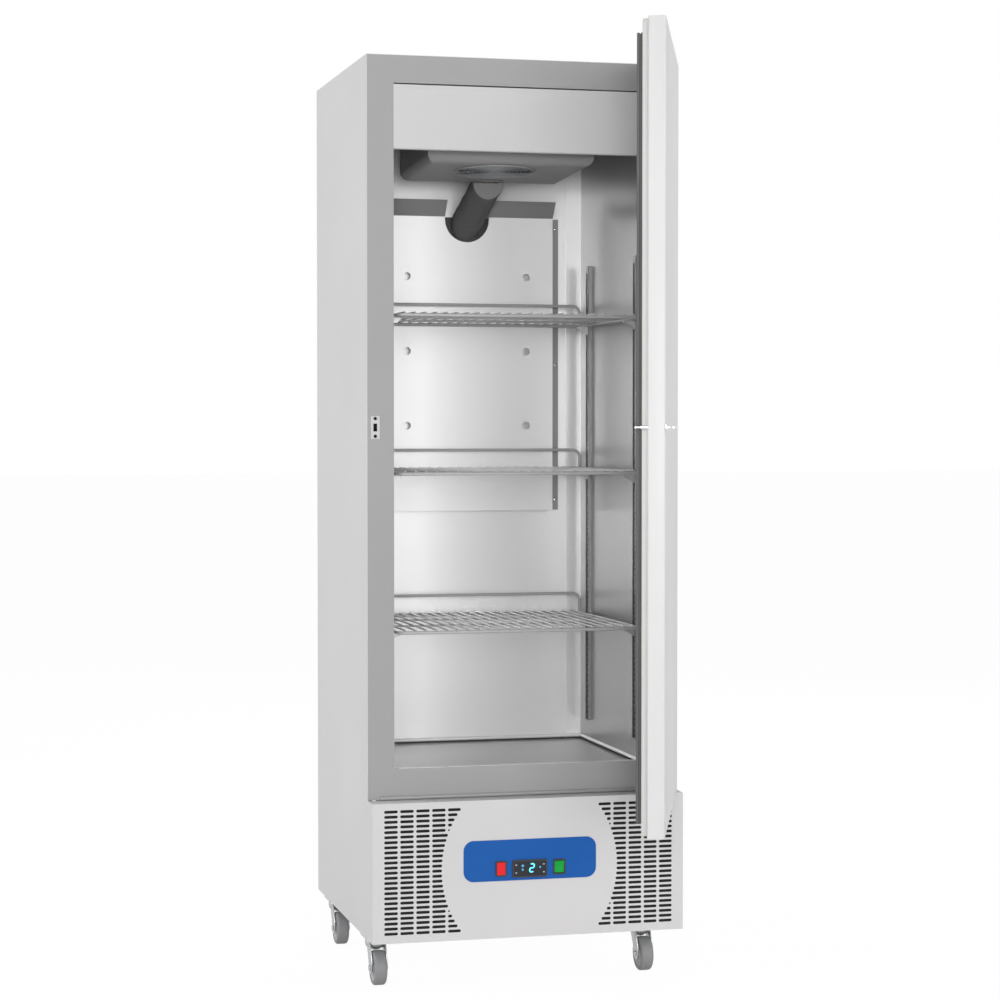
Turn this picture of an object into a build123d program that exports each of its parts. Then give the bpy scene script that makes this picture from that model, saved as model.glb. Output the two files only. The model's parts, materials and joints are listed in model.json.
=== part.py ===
from build123d import *
import math
import os

# A one-door upright refrigerator on castors, with its cooling unit in the base, in millimetres.
# X runs to the right seen from the front, Y to the back and Z up from the floor.
# It is modelled round the middle of the body. With the door standing open the whole outline
# reaches further forward, so every piece is saved BODY_SHIFT further back, and the saved
# origin lies on the floor under the middle of the whole outline.

# Body
WIDTH = 695
DEPTH = 607
HEIGHT = 2000
BODY_BOTTOM = 404
SHEET = 1
FRONT = -DEPTH / 2
BACK = DEPTH / 2
BODY_SHIFT = 326
INSIDE_X = WIDTH / 2 - SHEET
FRAME_SHEET = 1.2
FRAME_RETURN = 12

# Opening and storage space, from the widths of the frame and the thickness of the back wall
FRAME_SIDE = 58.9
FRAME_HEAD = 59.6
FRAME_FOOT = 66.8
SILL_STEP = 19.8
BACK_WALL = 51.5
OPENING_X = WIDTH / 2 - FRAME_SIDE
OPENING_TOP = HEIGHT - FRAME_HEAD
SILL_TOP = BODY_BOTTOM + FRAME_FOOT
LINER_FLOOR = SILL_TOP - SILL_STEP
LINER_BACK = BACK - BACK_WALL
LINER_WALL = 1.5
LINER_FRONT = FRONT + FRAME_RETURN

# Door, drawn shut and then swung open to where it rests
DOOR_INSET = 7.5
DOOR_THICK = 46.5
DOOR_STANDOFF = 11.5
DOOR_PAN_DEPTH = 33
DOOR_FRONT_ROUND = 4
DOOR_RECESS = 20
DOOR_STEP = 1.5
DOOR_REST_ANGLE = 69.6
DOOR_X = WIDTH / 2 - DOOR_INSET
DOOR_BOTTOM = BODY_BOTTOM + 3
DOOR_TOP = HEIGHT - 5
DOOR_INNER_Y = FRONT - DOOR_STANDOFF
DOOR_OUTER_Y = DOOR_INNER_Y - DOOR_THICK
HINGE_X = DOOR_X - 28.4
HINGE_Y = DOOR_OUTER_Y + 26.1
PIN_RADIUS = 4
RUNNING_FIT = 0.05
BUSH_WALL = 3
BUSH_RADIUS = PIN_RADIUS + BUSH_WALL
BUSH_LENGTH = 18
GASKET_X = DOOR_X - 32
GASKET_Z = (DOOR_BOTTOM + 25, DOOR_TOP - 27)
GASKET_WIDTH = 18
SEAL_GAP = 0.3

# Lock and strike
LOCK_X = 10.3 - DOOR_X
LOCK_Z = 1204.6
BARREL_RADIUS = 8
BARREL_PROUD = 2.5
BOLT_STEPS = ((2, 3.8), (9, 2), (13, 3.2))
ESCUTCHEON = (BARREL_RADIUS + 2, 1.5)
KEY_BLADE = (4, 1)
KEY_BOW = (11, 2.5)
STRIKE_X = (LOCK_X - 9.3, LOCK_X + 9.6)
STRIKE_Z = (LOCK_Z - 24.9, LOCK_Z + 24.6)
STRIKE_SLOT = (8.2, 16.9)
STRIKE_PLATE = 2
STRIKE_DEPTH = 14
STRIKE_SCREW_Z = (LOCK_Z - 18.9, LOCK_Z + 18.9)
STRIKE_SCREW_X = LOCK_X - 0.2

# Base, with its cooling slots in rows and columns that a wide circle cuts off on the inner side
BASE_FRONT = FRONT - 51.4
BASE_TOP = BODY_BOTTOM - 1
BASE_BOTTOM = 103
CHASSIS = 2
VENT_ROWS = 25
VENT_TOP = BASE_TOP - 17.6
VENT_PITCH = 10.9
VENT_HEIGHT = 5.2
VENT_OUTER = WIDTH / 2 - 26.5
VENT_LENGTH = 28.4
VENT_COLUMN = 34.9
VENT_COLUMNS = 5
VENT_CIRCLE = (31.7, 254.6, 227)
VENT_LEAST = 4

# The appliance inlet's middle as X and Z, and its body's width and height
INLET_AT = (WIDTH / 2 - 97.5, 150)
INLET_BODY = (28, 22)

# Rear grille: where its upright slots start and end, and their pitch, width and heights
GRILLE_FIRST = 67.5 - WIDTH / 2
GRILLE_LAST = INLET_AT[0] - 106
GRILLE_PITCH = 32
GRILLE_WIDTH = 8
GRILLE_Z = (170, 350)

# Control plate and what it holds: each middle as X and Z, each size as width and height
PLATE_X = 148
PLATE_Z = (227.3, 316)
PLATE_ROUND = 22
PLATE_THICK = 1.5
BUTTON_AT = (-65.4, 254)
BUTTON_BEZEL = (25, 33.8)
CONTROLLER_AT = (-1.6, 252.4)
CONTROLLER_FACE = (77.7, 38.2)
CONTROLLER_BODY = (71, 29)
CONTROLLER_DEPTH = 55
CONTROLLER_PROUD = 3
CONTROLLER_RIM = 3
CONTROLLER_ROUND = 3
ROCKER_AT = (64.9, 253.4)
ROCKER_BEZEL = (27.5, 33.4)
BEZEL_RIM = 3
BEZEL_PROUD = 2.5
SWITCH_DEPTH = 22
BUTTON_TRAVEL = 2.5
ROCKER_RADIUS = 13
MOVING_GAP = 0.3

# Hinge brackets: the leg's two edges and the tongue's free end on X
BRACKET_X = (HINGE_X - 55.6, HINGE_X - 19.6, HINGE_X + 19.4)
BRACKET_FRONT = HINGE_Y - 14.6
BRACKET_SHEET = 2.5
BRACKET_TONGUE = 3
BRACKET_GAP = 0.7
BRACKET_LEG = (22, 26)
BRACKET_SCREW_X = (BRACKET_X[0] + 9, BRACKET_X[1] - 9)
BRACKET_SCREW_IN = 13
PIN_REACH = 16

# Panel screws: the radius and the length of the shank, and the same of the head
SCREW_SHANK = (1.5, 12)
SCREW_HEAD = (3.2, 1.4)

# The rocker's pivot and the tilt of its face
ROCKER_Y = BASE_FRONT - 0.1
ROCKER_TILT = 16

# Duct, sleeve and cover
FASCIA_Z = (OPENING_TOP - 140.9, OPENING_TOP - 3)
FASCIA_RETURN = 42
FASCIA_SET_BACK = 0.3
TRIM_X = (27.5 - WIDTH / 2, BRACKET_X[0] - 6)
TRIM_TOP = BASE_TOP + 8.9
TRIM_REACH = 6
TRIM_ROUND = 2.8
DUCT_DEEP = 24
DUCT_FACE = LINER_BACK - DUCT_DEEP
DUCT_X = OPENING_X - 77.6
DUCT_FLANGE_X = DUCT_X + 20
DUCT_Z = (LINER_FLOOR + 555.5, OPENING_TOP - 236.4)
DUCT_LIP = (DUCT_FACE - 28, DUCT_Z[1] + 36.5)
DUCT_SHEET = 1.2
DUCT_SCREW_X = DUCT_X + 13
DUCT_SCREW_Z = (DUCT_Z[0] + 24.2, sum(DUCT_Z) / 2 - 0.25, DUCT_Z[1] - 23)
AIR_HOLE_X = DUCT_X - 65.5
AIR_HOLE_Z = (DUCT_Z[1] - 495.2, DUCT_Z[1] - 318.8, DUCT_Z[1] - 142)
AIR_HOLE_RADIUS = 9
COVER_X = OPENING_X - 99.6
COVER_Y = (FRONT + 108.5, LINER_BACK - 152)
COVER_Z = (OPENING_TOP - 155.4, OPENING_TOP - 169.4)
COVER_WALL = 3
COVER_ROUND = 20
COVER_WAY_X = (-6, 42)
SLEEVE_RADIUS = 36
SLEEVE_WALL = 8.5
SLEEVE_BORE = SLEEVE_RADIUS - SLEEVE_WALL
SLEEVE_HOLE = (DUCT_Z[1] - 11.7, SLEEVE_RADIUS + 12)
SLEEVE_START = (0, DUCT_FACE, SLEEVE_HOLE[0])
SLEEVE_END = (14.6, COVER_Y[1] - 24, COVER_Z[1] + 1)
FAN_AT = (-14, COVER_Y[0] + 99)
FAN_OPENING = 84
GUARD_RINGS = (90, 60, 30)
GUARD_WIRE = 2

# Shelves and their supports
SHELF_LOWEST = LINER_FLOOR + 309
SHELF_HIGHEST = OPENING_TOP - 492.9
SHELF_Z = (SHELF_LOWEST, (SHELF_LOWEST + SHELF_HIGHEST) / 2 + 0.25, SHELF_HIGHEST)
SHELF_X = OPENING_X - 16.1
SHELF_Y = (LINER_FRONT + 16.5, DUCT_FACE - 6)
SHELF_WIRE = 3.75
CROSS_WIRE = 2
CROSS_PITCH = 23.5
SHELF_CORNER = 12
RAIL_RISE = 47
RAIL_BEND = 18
PILASTER_WIDTH = 20
PILASTER_DEEP = 8.6
PILASTER_Z = (LINER_FLOOR + 55, OPENING_TOP - 352.4)
PILASTER_SHEET = 1.5
NOTCH_PITCH = 12.5
PILASTER_Y = (LINER_FRONT + 86.5, LINER_BACK - 82)
CLIP_INNER_X = SHELF_X - 18.5

# Castors: each swivel's X and Y on the floor plan
CASTOR_LEFT = 27.5 - WIDTH / 2
CASTOR_RIGHT = WIDTH / 2 - 67.5
CASTOR_FRONT = BASE_FRONT + 102.9
CASTOR_REAR = BACK - 115.5
SWIVELS = {
    "front_left": (CASTOR_LEFT, CASTOR_FRONT),
    "front_right": (CASTOR_RIGHT, CASTOR_FRONT),
    "rear_left": (CASTOR_LEFT, CASTOR_REAR),
    "rear_right": (CASTOR_RIGHT, CASTOR_REAR),
}
WHEEL_RADIUS = 37.5
WHEEL_WIDTH = 28
WHEEL_TRAIL = 28
AXLE_RADIUS = 4
KING_RADIUS = 5
CASTOR_PLATE = (90, 72, 4)

# Cooling unit in the base
COMPRESSOR_AT = (150, 20)
COMPRESSOR_RADIUS = 85
CONDENSER_X = (35.5 - WIDTH / 2, -60)
CONDENSER_Y = (BASE_FRONT + 23.9, BASE_FRONT + 64.9)
CONDENSER_Z = (125, 385)
COOLING_FAN_AT = (sum(CONDENSER_X) / 2, sum(CONDENSER_Z) / 2)
TRAY_X = (-150, 60)
TRAY_Y = (BACK - 173.5, BACK - 53.5)
TRAY_TOP = 140
TRAY_WALL = 2

# Pipes: how far below the sleeve's middle they run, and where they rise, drop and turn into the wall
SUCTION_RADIUS = 4.75
LIQUID_RADIUS = 3.2
DRAIN_RADIUS = 6
PIPE_SIDES = 6
PIPE_BEND = 12
PIPE_OFFSETS = {"suction": 0, "liquid": -13, "drain": 13}
PIPE_SEAT = 13.5
PIPE_DROP = SLEEVE_BORE - PIPE_SEAT
# The pipes meet the cover further back where they run higher in the sleeve.
PIPE_WAY_BACK = 42 - 2 * PIPE_DROP
PIPE_TOP = OPENING_TOP - 140.4
PIPE_RISE_Y = COVER_Y[1] - 48
PIPE_DUCT_Y = DUCT_FACE + 12.5
PIPE_WALL_Y = LINER_BACK + 20
PIPE_TURN_Z = (DUCT_Z[0] + 93.5, DUCT_Z[0] + 53.5)
CHASE_HALF = (24, 10)
SUCTION_Z = 235
LIQUID_Z = 180
DISCHARGE_Z = (290, 340)
DISCHARGE_X = 20
DISCHARGE_SIDE = 40
STUB_LENGTH = 10
STUB_PROUD = 6
STUB_WALL = 1
HOSE_TURN_Z = (300, 240)
HOSE_END = (TRAY_Y[0] + 60, TRAY_TOP + 10)

# Fans: the shaft's radius, the wheel's hub radius and height, and the number and pitch of the blades
SHAFT_RADIUS = 3
COLD_FAN = (76, 22, 26, 5, 28)
COLD_FAN_Z = OPENING_TOP - 134.4
COLD_COIL_X = COVER_X - 29
COLD_COIL_Y = (COVER_Y[1] - 80, COVER_Y[1] - 16)
COLD_COIL_TOP = OPENING_TOP - 20.4
COIL_FINS = 17
FIN_SHEET = 0.8
END_PLATE = 2
COOLING_FAN = (95, 26, 28, 5, 26)


def block(x, y, z):
    """A box between a low and a high bound on each axis."""
    middle = Pos(sum(x) / 2, sum(y) / 2, sum(z) / 2)
    return middle * Box(x[1] - x[0], y[1] - y[0], z[1] - z[0])


def wire_along_y(x, y, z, radius, sides=6):
    """A straight many-sided wire from front to back, flat on its top and underside."""
    section = Pos(x, z) * RegularPolygon(radius, sides, major_radius=False)
    return extrude(Plane.XZ.offset(-y[1]) * section, y[1] - y[0])


def wire_along_x(x, y, z, radius, sides=6):
    """A straight many-sided wire from left to right, flat on its top and underside."""
    section = Pos(y, z) * RegularPolygon(radius, sides, major_radius=False)
    return Pos(x[0]) * extrude(Plane.YZ * section, x[1] - x[0])


def rod(start, end, radius):
    """A round bar from one point to another."""
    along = Vector(*end) - Vector(*start)
    bar = Cylinder(radius, along.length, align=(Align.CENTER, Align.CENTER, Align.MIN))
    return Plane(origin=start, z_dir=along) * bar


def prism(foot, high, radius, sides=12):
    """An upright many-sided bar on a foot point, with the radius to its flats."""
    return Pos(*foot) * extrude(RegularPolygon(radius, sides, major_radius=False), high)


def frame_ring(half_x, z, width, y):
    """A flat ring standing across the front, with its bars the given width wide."""
    inner = block((width - half_x, half_x - width), y, (z[0] + width, z[1] - width))
    return block((-half_x, half_x), y, z) - inner


def rounded_plate(at, size, radius, y):
    """An upright plate with rounded corners, round a middle in X and Z."""
    face = Pos(at[0], at[1]) * RectangleRounded(size[0], size[1], radius)
    return extrude(Plane.XZ.offset(-y[1]) * face, y[1] - y[0])


def pipe(points, radius, bend, sides=PIPE_SIDES, close=False):
    """A pipe along straight runs joined by equal bends, many-sided and the radius to its flats."""
    path = FilletPolyline(*points, radius=bend, close=close)
    section = RegularPolygon(radius, sides, major_radius=False, rotation=180 / sides)
    return sweep(Plane(origin=path @ 0, z_dir=path % 0) * section, path=path)


def profile_yz(points):
    """A face in the plane of Y and Z from its corners."""
    return Plane.YZ * make_face(Polyline(*points, close=True))


def opened(shape):
    """A piece of the shut door, swung out to where the door rests."""
    turn = Pos(HINGE_X, HINGE_Y) * Rot(0, 0, DOOR_REST_ANGLE) * Pos(-HINGE_X, -HINGE_Y)
    return turn * shape


# Body

def side_panel(side):
    """One sheet from the castors to the top, stepping forward beside the base."""
    corners = [
        (FRONT, HEIGHT),
        (FRONT, BODY_BOTTOM),
        (BASE_FRONT, BASE_TOP),
        (BASE_FRONT, BASE_BOTTOM),
        (BACK, BASE_BOTTOM),
        (BACK, HEIGHT),
    ]
    sheet = extrude(profile_yz(corners), SHEET)
    return Pos(side * WIDTH / 2 - (side + 1) / 2 * SHEET) * sheet


def top_panel():
    return block((-INSIDE_X, INSIDE_X), (FRONT, BACK), (HEIGHT - SHEET, HEIGHT))


def back_panel():
    return block((-INSIDE_X, INSIDE_X), (BACK - SHEET, BACK), (BODY_BOTTOM, HEIGHT - SHEET))


def bottom_panel():
    """The body's underside, with the holes that the pipes and the drain go through."""
    plate = block(
        (-INSIDE_X, INSIDE_X),
        (FRONT + FRAME_SHEET, BACK - SHEET),
        (BODY_BOTTOM, BODY_BOTTOM + SHEET),
    )
    return plate - pipe_ways()


def front_frame():
    """The flat face round the opening and the short return that lines it."""
    y = (FRONT, FRONT + FRAME_SHEET)
    face = block((-INSIDE_X, INSIDE_X), y, (BODY_BOTTOM, HEIGHT - SHEET))
    outer_x = OPENING_X + FRAME_SHEET
    outer_z = (SILL_TOP - FRAME_SHEET, OPENING_TOP + FRAME_SHEET)
    lining = block((-outer_x, outer_x), (FRONT, LINER_FRONT), outer_z)
    opening = block((-OPENING_X, OPENING_X), (FRONT - 1, LINER_FRONT + 1), (SILL_TOP, OPENING_TOP))
    return face + lining - opening - strike_pocket() - screw_shanks()


def liner_box(extra):
    """The storage space, grown all round but not at its open front."""
    return block(
        (-OPENING_X - extra, OPENING_X + extra),
        (LINER_FRONT, LINER_BACK + extra),
        (LINER_FLOOR - extra, OPENING_TOP + extra),
    )


def inner_liner():
    """The one-piece lining, with a step up to the sill at its front."""
    shell = liner_box(LINER_WALL) - liner_box(0)
    sill_z = (LINER_FLOOR, SILL_TOP)
    step = block((-OPENING_X, OPENING_X), (LINER_FRONT, LINER_FRONT + LINER_WALL), sill_z)
    return shell + step - pipe_ways() - screw_shanks()


def insulation_foam():
    """What fills the space between the outer sheets and the lining."""
    whole = block(
        (-INSIDE_X, INSIDE_X),
        (FRONT + FRAME_SHEET, BACK - SHEET),
        (BODY_BOTTOM + SHEET, HEIGHT - SHEET),
    )
    outer_x = OPENING_X + FRAME_SHEET
    outer_z = (SILL_TOP - FRAME_SHEET, OPENING_TOP + FRAME_SHEET)
    front_way = block((-outer_x, outer_x), (FRONT, LINER_FRONT), outer_z)
    return whole - liner_box(LINER_WALL) - front_way - strike_pocket() - pipe_ways() - screw_shanks()


def strike_pocket():
    """The hollow that the lock's bolt enters through the left frame."""
    half_x = STRIKE_SLOT[0] / 2
    half_z = STRIKE_SLOT[1] / 2
    middle_z = LOCK_Z - 0.2
    x = (LOCK_X - half_x, LOCK_X + half_x)
    return block(x, (FRONT - 5, FRONT + STRIKE_DEPTH), (middle_z - half_z, middle_z + half_z))


def fascia_panel():
    """The flat panel across the top of the opening, with returns at its two sides."""
    y = (FRONT + FASCIA_SET_BACK, FRONT + FASCIA_SET_BACK + FRAME_SHEET)
    face = block((-OPENING_X, OPENING_X), y, FASCIA_Z)
    returns_y = (y[0], FRONT + FASCIA_RETURN)
    inside = OPENING_X - FRAME_SHEET
    returns = block((-OPENING_X, OPENING_X), returns_y, FASCIA_Z)
    hollow = block((-inside, inside), (y[1], returns_y[1]), (FASCIA_Z[0] - 1, FASCIA_Z[1] + 1))
    lip_y = (y[1], y[1] + 10)
    lip = block((-inside, inside), lip_y, (FASCIA_Z[0], FASCIA_Z[0] + FRAME_SHEET))
    return face + (returns - hollow) + lip


def sill_trim():
    """The rounded strip along the foot of the front frame."""
    strip = block(TRIM_X, (FRONT - TRIM_REACH, FRONT), (BASE_TOP + 0.2, TRIM_TOP))
    front_edges = strip.edges().filter_by(Axis.X).group_by(Axis.Y)[0]
    return fillet(front_edges, TRIM_ROUND)


# Things inside the storage space

def duct_panel():
    """The air duct's front on the back wall, with screw flanges and a lip at its top."""
    wall = LINER_BACK - DUCT_SHEET
    outer = block((-DUCT_X, DUCT_X), (DUCT_FACE, LINER_BACK), DUCT_Z)
    inside = DUCT_X - DUCT_SHEET
    hollow = block((-inside, inside), (DUCT_FACE + DUCT_SHEET, LINER_BACK + 1), (0, DUCT_Z[1] + 1))
    flanges = block((-DUCT_FLANGE_X, DUCT_FLANGE_X), (wall, LINER_BACK), DUCT_Z)
    gap = block((-DUCT_X, DUCT_X), (wall - 1, LINER_BACK + 1), (0, HEIGHT))
    lip_face = profile_yz([
        (DUCT_FACE, DUCT_Z[1]),
        (DUCT_LIP[0], DUCT_LIP[1]),
        (DUCT_LIP[0] + 0.8, DUCT_LIP[1] + 0.9),
        (DUCT_FACE + DUCT_SHEET, DUCT_Z[1] + 0.5),
        (DUCT_FACE + DUCT_SHEET, DUCT_Z[1] - 1),
        (DUCT_FACE, DUCT_Z[1] - 1),
    ])
    lip = Pos(-DUCT_X) * extrude(lip_face, 2 * DUCT_X)
    panel = (outer - hollow) + (flanges - gap) + lip
    hole_z, hole_radius = SLEEVE_HOLE
    panel -= rod((0, DUCT_LIP[0] - 5, hole_z), (0, LINER_BACK, hole_z), hole_radius)
    notch_y = (DUCT_LIP[0] - 5, DUCT_FACE + 5)
    panel -= block((-hole_radius, hole_radius), notch_y, (hole_z, DUCT_LIP[1] + 5))
    for x in (-AIR_HOLE_X, AIR_HOLE_X):
        for z in AIR_HOLE_Z:
            panel -= rod((x, DUCT_FACE - 1, z), (x, DUCT_FACE + 3, z), AIR_HOLE_RADIUS)
    return panel - screw_shanks()


def screw_places():
    """Where each panel screw's head meets its sheet, and which way it is driven."""
    places = []
    for x in (-DUCT_SCREW_X, DUCT_SCREW_X):
        for z in DUCT_SCREW_Z:
            places.append((x, LINER_BACK - DUCT_SHEET, z))
    for z in STRIKE_SCREW_Z:
        places.append((STRIKE_SCREW_X, FRONT - STRIKE_PLATE, z))
    for x in BRACKET_SCREW_X:
        places.append((x, FRONT - BRACKET_SHEET, BODY_BOTTOM + BRACKET_SCREW_IN))
        places.append((x, FRONT - BRACKET_SHEET, HEIGHT - BRACKET_SCREW_IN))
    return places


def screw_shanks():
    """The holes that the panel screws fill, as one cutting shape."""
    radius, length = SCREW_SHANK
    shanks = []
    for x, y, z in screw_places():
        shanks.append(wire_along_y(x, (y - 1, y + length), z, radius))
    return shanks


def panel_screws():
    """All the small screws in the duct, the strike and the hinge brackets."""
    radius, length = SCREW_SHANK
    head_radius, head_high = SCREW_HEAD
    screws = []
    for x, y, z in screw_places():
        head = wire_along_y(x, (y - head_high, y), z, head_radius, 8)
        screws.append(head + wire_along_y(x, (y, y + length), z, radius))
    return Compound(screws)


def sleeve_point(y, drop):
    """A point in the sleeve at a distance back, dropped below its middle line."""
    share = (SLEEVE_START[1] - y) / (SLEEVE_START[1] - SLEEVE_END[1])
    x = SLEEVE_START[0] + share * (SLEEVE_END[0] - SLEEVE_START[0])
    z = SLEEVE_START[2] + share * (SLEEVE_END[2] - SLEEVE_START[2])
    return x, z - drop


def pipe_sleeve():
    """The foam tube round the pipes, between the duct and the cover over the cold coil."""
    start_y = DUCT_FACE + 5
    end_y = SLEEVE_END[1]
    x0, z0 = sleeve_point(start_y + 60, 0)
    x1, z1 = sleeve_point(end_y - 60, 0)
    start = (x0, start_y + 60, z0)
    end = (x1, end_y - 60, z1)
    tube = rod(start, end, SLEEVE_RADIUS) - rod(start, end, SLEEVE_BORE)
    reach = 2 * SLEEVE_RADIUS + SLEEVE_END[0]
    tube = tube & block((-reach, reach), (end_y, start_y), (0, HEIGHT))
    under = COVER_Z[1] - SEAL_GAP
    return tube - block((-reach, reach), (COVER_Y[0], COVER_Y[1] + SEAL_GAP), (under, HEIGHT))


def pipe_upper_route(offset):
    """The shared route from the cold coil, down the sleeve, the duct and the back wall."""
    x_top, z_top = sleeve_point(PIPE_RISE_Y, PIPE_DROP)
    x_duct, z_duct = sleeve_point(PIPE_DUCT_Y, PIPE_DROP)
    return [
        (x_top + offset, PIPE_RISE_Y, PIPE_TOP),
        (x_top + offset, PIPE_RISE_Y, z_top),
        (x_duct + offset, PIPE_DUCT_Y, z_duct),
        (x_duct + offset, PIPE_DUCT_Y, PIPE_TURN_Z[0]),
        (x_duct + offset, PIPE_WALL_Y, PIPE_TURN_Z[1]),
    ]


def pipe_ways():
    """The way through the lining, the foam and the underside that the three pipes share."""
    half_x, half_y = CHASE_HALF
    wall = LINER_BACK - 1
    front = PIPE_WALL_Y - half_y
    back = PIPE_WALL_Y + half_y
    turn_top, turn_low = PIPE_TURN_Z
    chase = profile_yz([
        (wall, turn_top + 5),
        (wall, turn_low + 12),
        (front, turn_low - 3),
        (front, BODY_BOTTOM - 1),
        (back, BODY_BOTTOM - 1),
        (back, turn_low + 10),
    ])
    return Pos(-half_x) * extrude(chase, 2 * half_x)


def refrigerant_lines():
    """The suction, liquid and discharge pipes of the cooling unit."""
    comp_x, comp_y = COMPRESSOR_AT
    stub_x = comp_x - COMPRESSOR_RADIUS - STUB_PROUD
    suction = pipe_upper_route(PIPE_OFFSETS["suction"])
    x = suction[-1][0]
    suction += [(x, PIPE_WALL_Y, SUCTION_Z), (x, comp_y, SUCTION_Z), (stub_x, comp_y, SUCTION_Z)]
    liquid = pipe_upper_route(PIPE_OFFSETS["liquid"])
    x = liquid[-1][0]
    coil_y = sum(CONDENSER_Y) / 2
    coil_end = CONDENSER_X[1] + STUB_LENGTH
    liquid += [(x, PIPE_WALL_Y, LIQUID_Z), (x, coil_y, LIQUID_Z), (coil_end, coil_y, LIQUID_Z)]
    out_y = comp_y - DISCHARGE_SIDE
    out_z, in_z = DISCHARGE_Z
    discharge = [
        (stub_x, out_y, out_z),
        (DISCHARGE_X, out_y, out_z),
        (DISCHARGE_X, out_y, in_z),
        (DISCHARGE_X, coil_y, in_z),
        (coil_end, coil_y, in_z),
    ]
    return Compound([
        pipe(suction, SUCTION_RADIUS, PIPE_BEND),
        pipe(liquid, LIQUID_RADIUS, PIPE_BEND),
        pipe(discharge, LIQUID_RADIUS, PIPE_BEND),
    ])


def drain_hose():
    """The hose that takes melt water from the cover down to the tray in the base."""
    route = pipe_upper_route(PIPE_OFFSETS["drain"])
    x = route[-1][0]
    end_y, end_z = HOSE_END
    route += [(x, PIPE_WALL_Y, HOSE_TURN_Z[0]), (x, end_y, HOSE_TURN_Z[1]), (x, end_y, end_z)]
    return pipe(route, DRAIN_RADIUS, PIPE_BEND)


def slope_at(y):
    """The height of the cover's sloping underside at a distance back."""
    share = (y - COVER_Y[0]) / (COVER_Y[1] - COVER_Y[0])
    return COVER_Z[0] + share * (COVER_Z[1] - COVER_Z[0])


def cover_body(inset, raised):
    """The cover's outer form, or its hollow when inset from every side."""
    low_y = COVER_Y[0] + inset
    high_y = COVER_Y[1] - inset
    face = profile_yz([
        (low_y, slope_at(low_y) + inset),
        (high_y, slope_at(high_y) + inset),
        (high_y, OPENING_TOP + raised),
        (low_y, OPENING_TOP + raised),
    ])
    half = COVER_X - inset
    body = Pos(-half) * extrude(face, 2 * half)
    lowest = body.edges().filter_by(lambda e: e.center().Z < COVER_Z[0] + inset + 2)
    return fillet(lowest, COVER_ROUND - inset)


def evaporator_cover():
    """The moulded cover under the cold coil, with the fan's opening and an outlet at its back."""
    shell = cover_body(0, 0) - cover_body(COVER_WALL, 1)
    fan_x, fan_y = FAN_AT
    under = COVER_Z[1] - 70
    shell -= rod((fan_x, fan_y, under), (fan_x, fan_y, COVER_Z[0] + 65), FAN_OPENING)
    half = COVER_X - 24
    outlet_z = (COVER_Z[0] + 65, OPENING_TOP - 15.4)
    outlet = block((-half, half), (COVER_Y[1] - 10, COVER_Y[1] + 10), outlet_z)
    way_y = (PIPE_RISE_Y - 14, PIPE_RISE_Y + PIPE_WAY_BACK)
    pipe_way = block(COVER_WAY_X, way_y, (under, COVER_Z[1] + 19))
    return shell - outlet - pipe_way


def fan_guard():
    """Three rings and two cross bars over the fan's opening, along the sloping underside."""
    guard = []
    for radius in GUARD_RINGS:
        ring = RegularPolygon(radius + GUARD_WIRE, 24) - RegularPolygon(radius - GUARD_WIRE, 24)
        guard.append(Pos(0, 0, -GUARD_WIRE) * extrude(ring, GUARD_WIRE))
    reach = GUARD_RINGS[0]
    under = (-2 * GUARD_WIRE, -GUARD_WIRE)
    bars = block((-reach, reach), (-GUARD_WIRE, GUARD_WIRE), under)
    guard.append(bars + block((-GUARD_WIRE, GUARD_WIRE), (-reach, reach), under))
    fall = math.degrees(math.atan2(COVER_Z[1] - COVER_Z[0], COVER_Y[1] - COVER_Y[0]))
    fan_x, fan_y = FAN_AT
    return Pos(fan_x, fan_y, slope_at(fan_y)) * Rot(fall, 0, 0) * Compound(guard)


def finned_coil(x, y, z, fins):
    """A row of flat fins across X, held by a plate above and a plate below."""
    fin_sheet = FIN_SHEET
    coil = block(x, y, (z[0], z[0] + fin_sheet)) + block(x, y, (z[1] - fin_sheet, z[1]))
    step = (x[1] - x[0] - fin_sheet) / (fins - 1)
    for count in range(fins):
        low = x[0] + count * step
        coil += block((low, low + fin_sheet), y, z)
    return coil


def evaporator_coil():
    """The cold coil, hung from the ceiling by its end plates."""
    half = COLD_COIL_X
    coil = finned_coil((-half, half), COLD_COIL_Y, (PIPE_TOP, COLD_COIL_TOP), COIL_FINS)
    for x in (-half - END_PLATE, half):
        coil += block((x, x + END_PLATE), COLD_COIL_Y, (PIPE_TOP, OPENING_TOP))
    return coil


def fan_wheel(radius, hub_radius, hub_high, blades, pitch):
    """A fan's hub and its pitched blades, with the hub's foot at the origin."""
    wheel = Cylinder(hub_radius, hub_high, align=(Align.CENTER, Align.CENTER, Align.MIN))
    for count in range(blades):
        outline = make_face(Polyline(
            (hub_radius - 4, -10),
            (radius * 0.6, -24),
            (radius - 8, -26),
            (radius, 4),
            (radius - 6, 22),
            (hub_radius - 4, 10),
            close=True,
        ))
        blade = Rot(pitch, 0, 0) * extrude(outline, 1.6)
        wheel += Rot(0, 0, count * 360 / blades) * Pos(0, 0, hub_high / 2) * blade
    return wheel


def evaporator_fan():
    """The cold fan's wheel and its shaft, which runs up into the motor."""
    fan_x, fan_y = FAN_AT
    hub_top = COLD_FAN[2]
    wheel = fan_wheel(*COLD_FAN) + rod((0, 0, hub_top), (0, 0, hub_top + 20), SHAFT_RADIUS)
    return Pos(fan_x, fan_y, COLD_FAN_Z) * wheel


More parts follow.
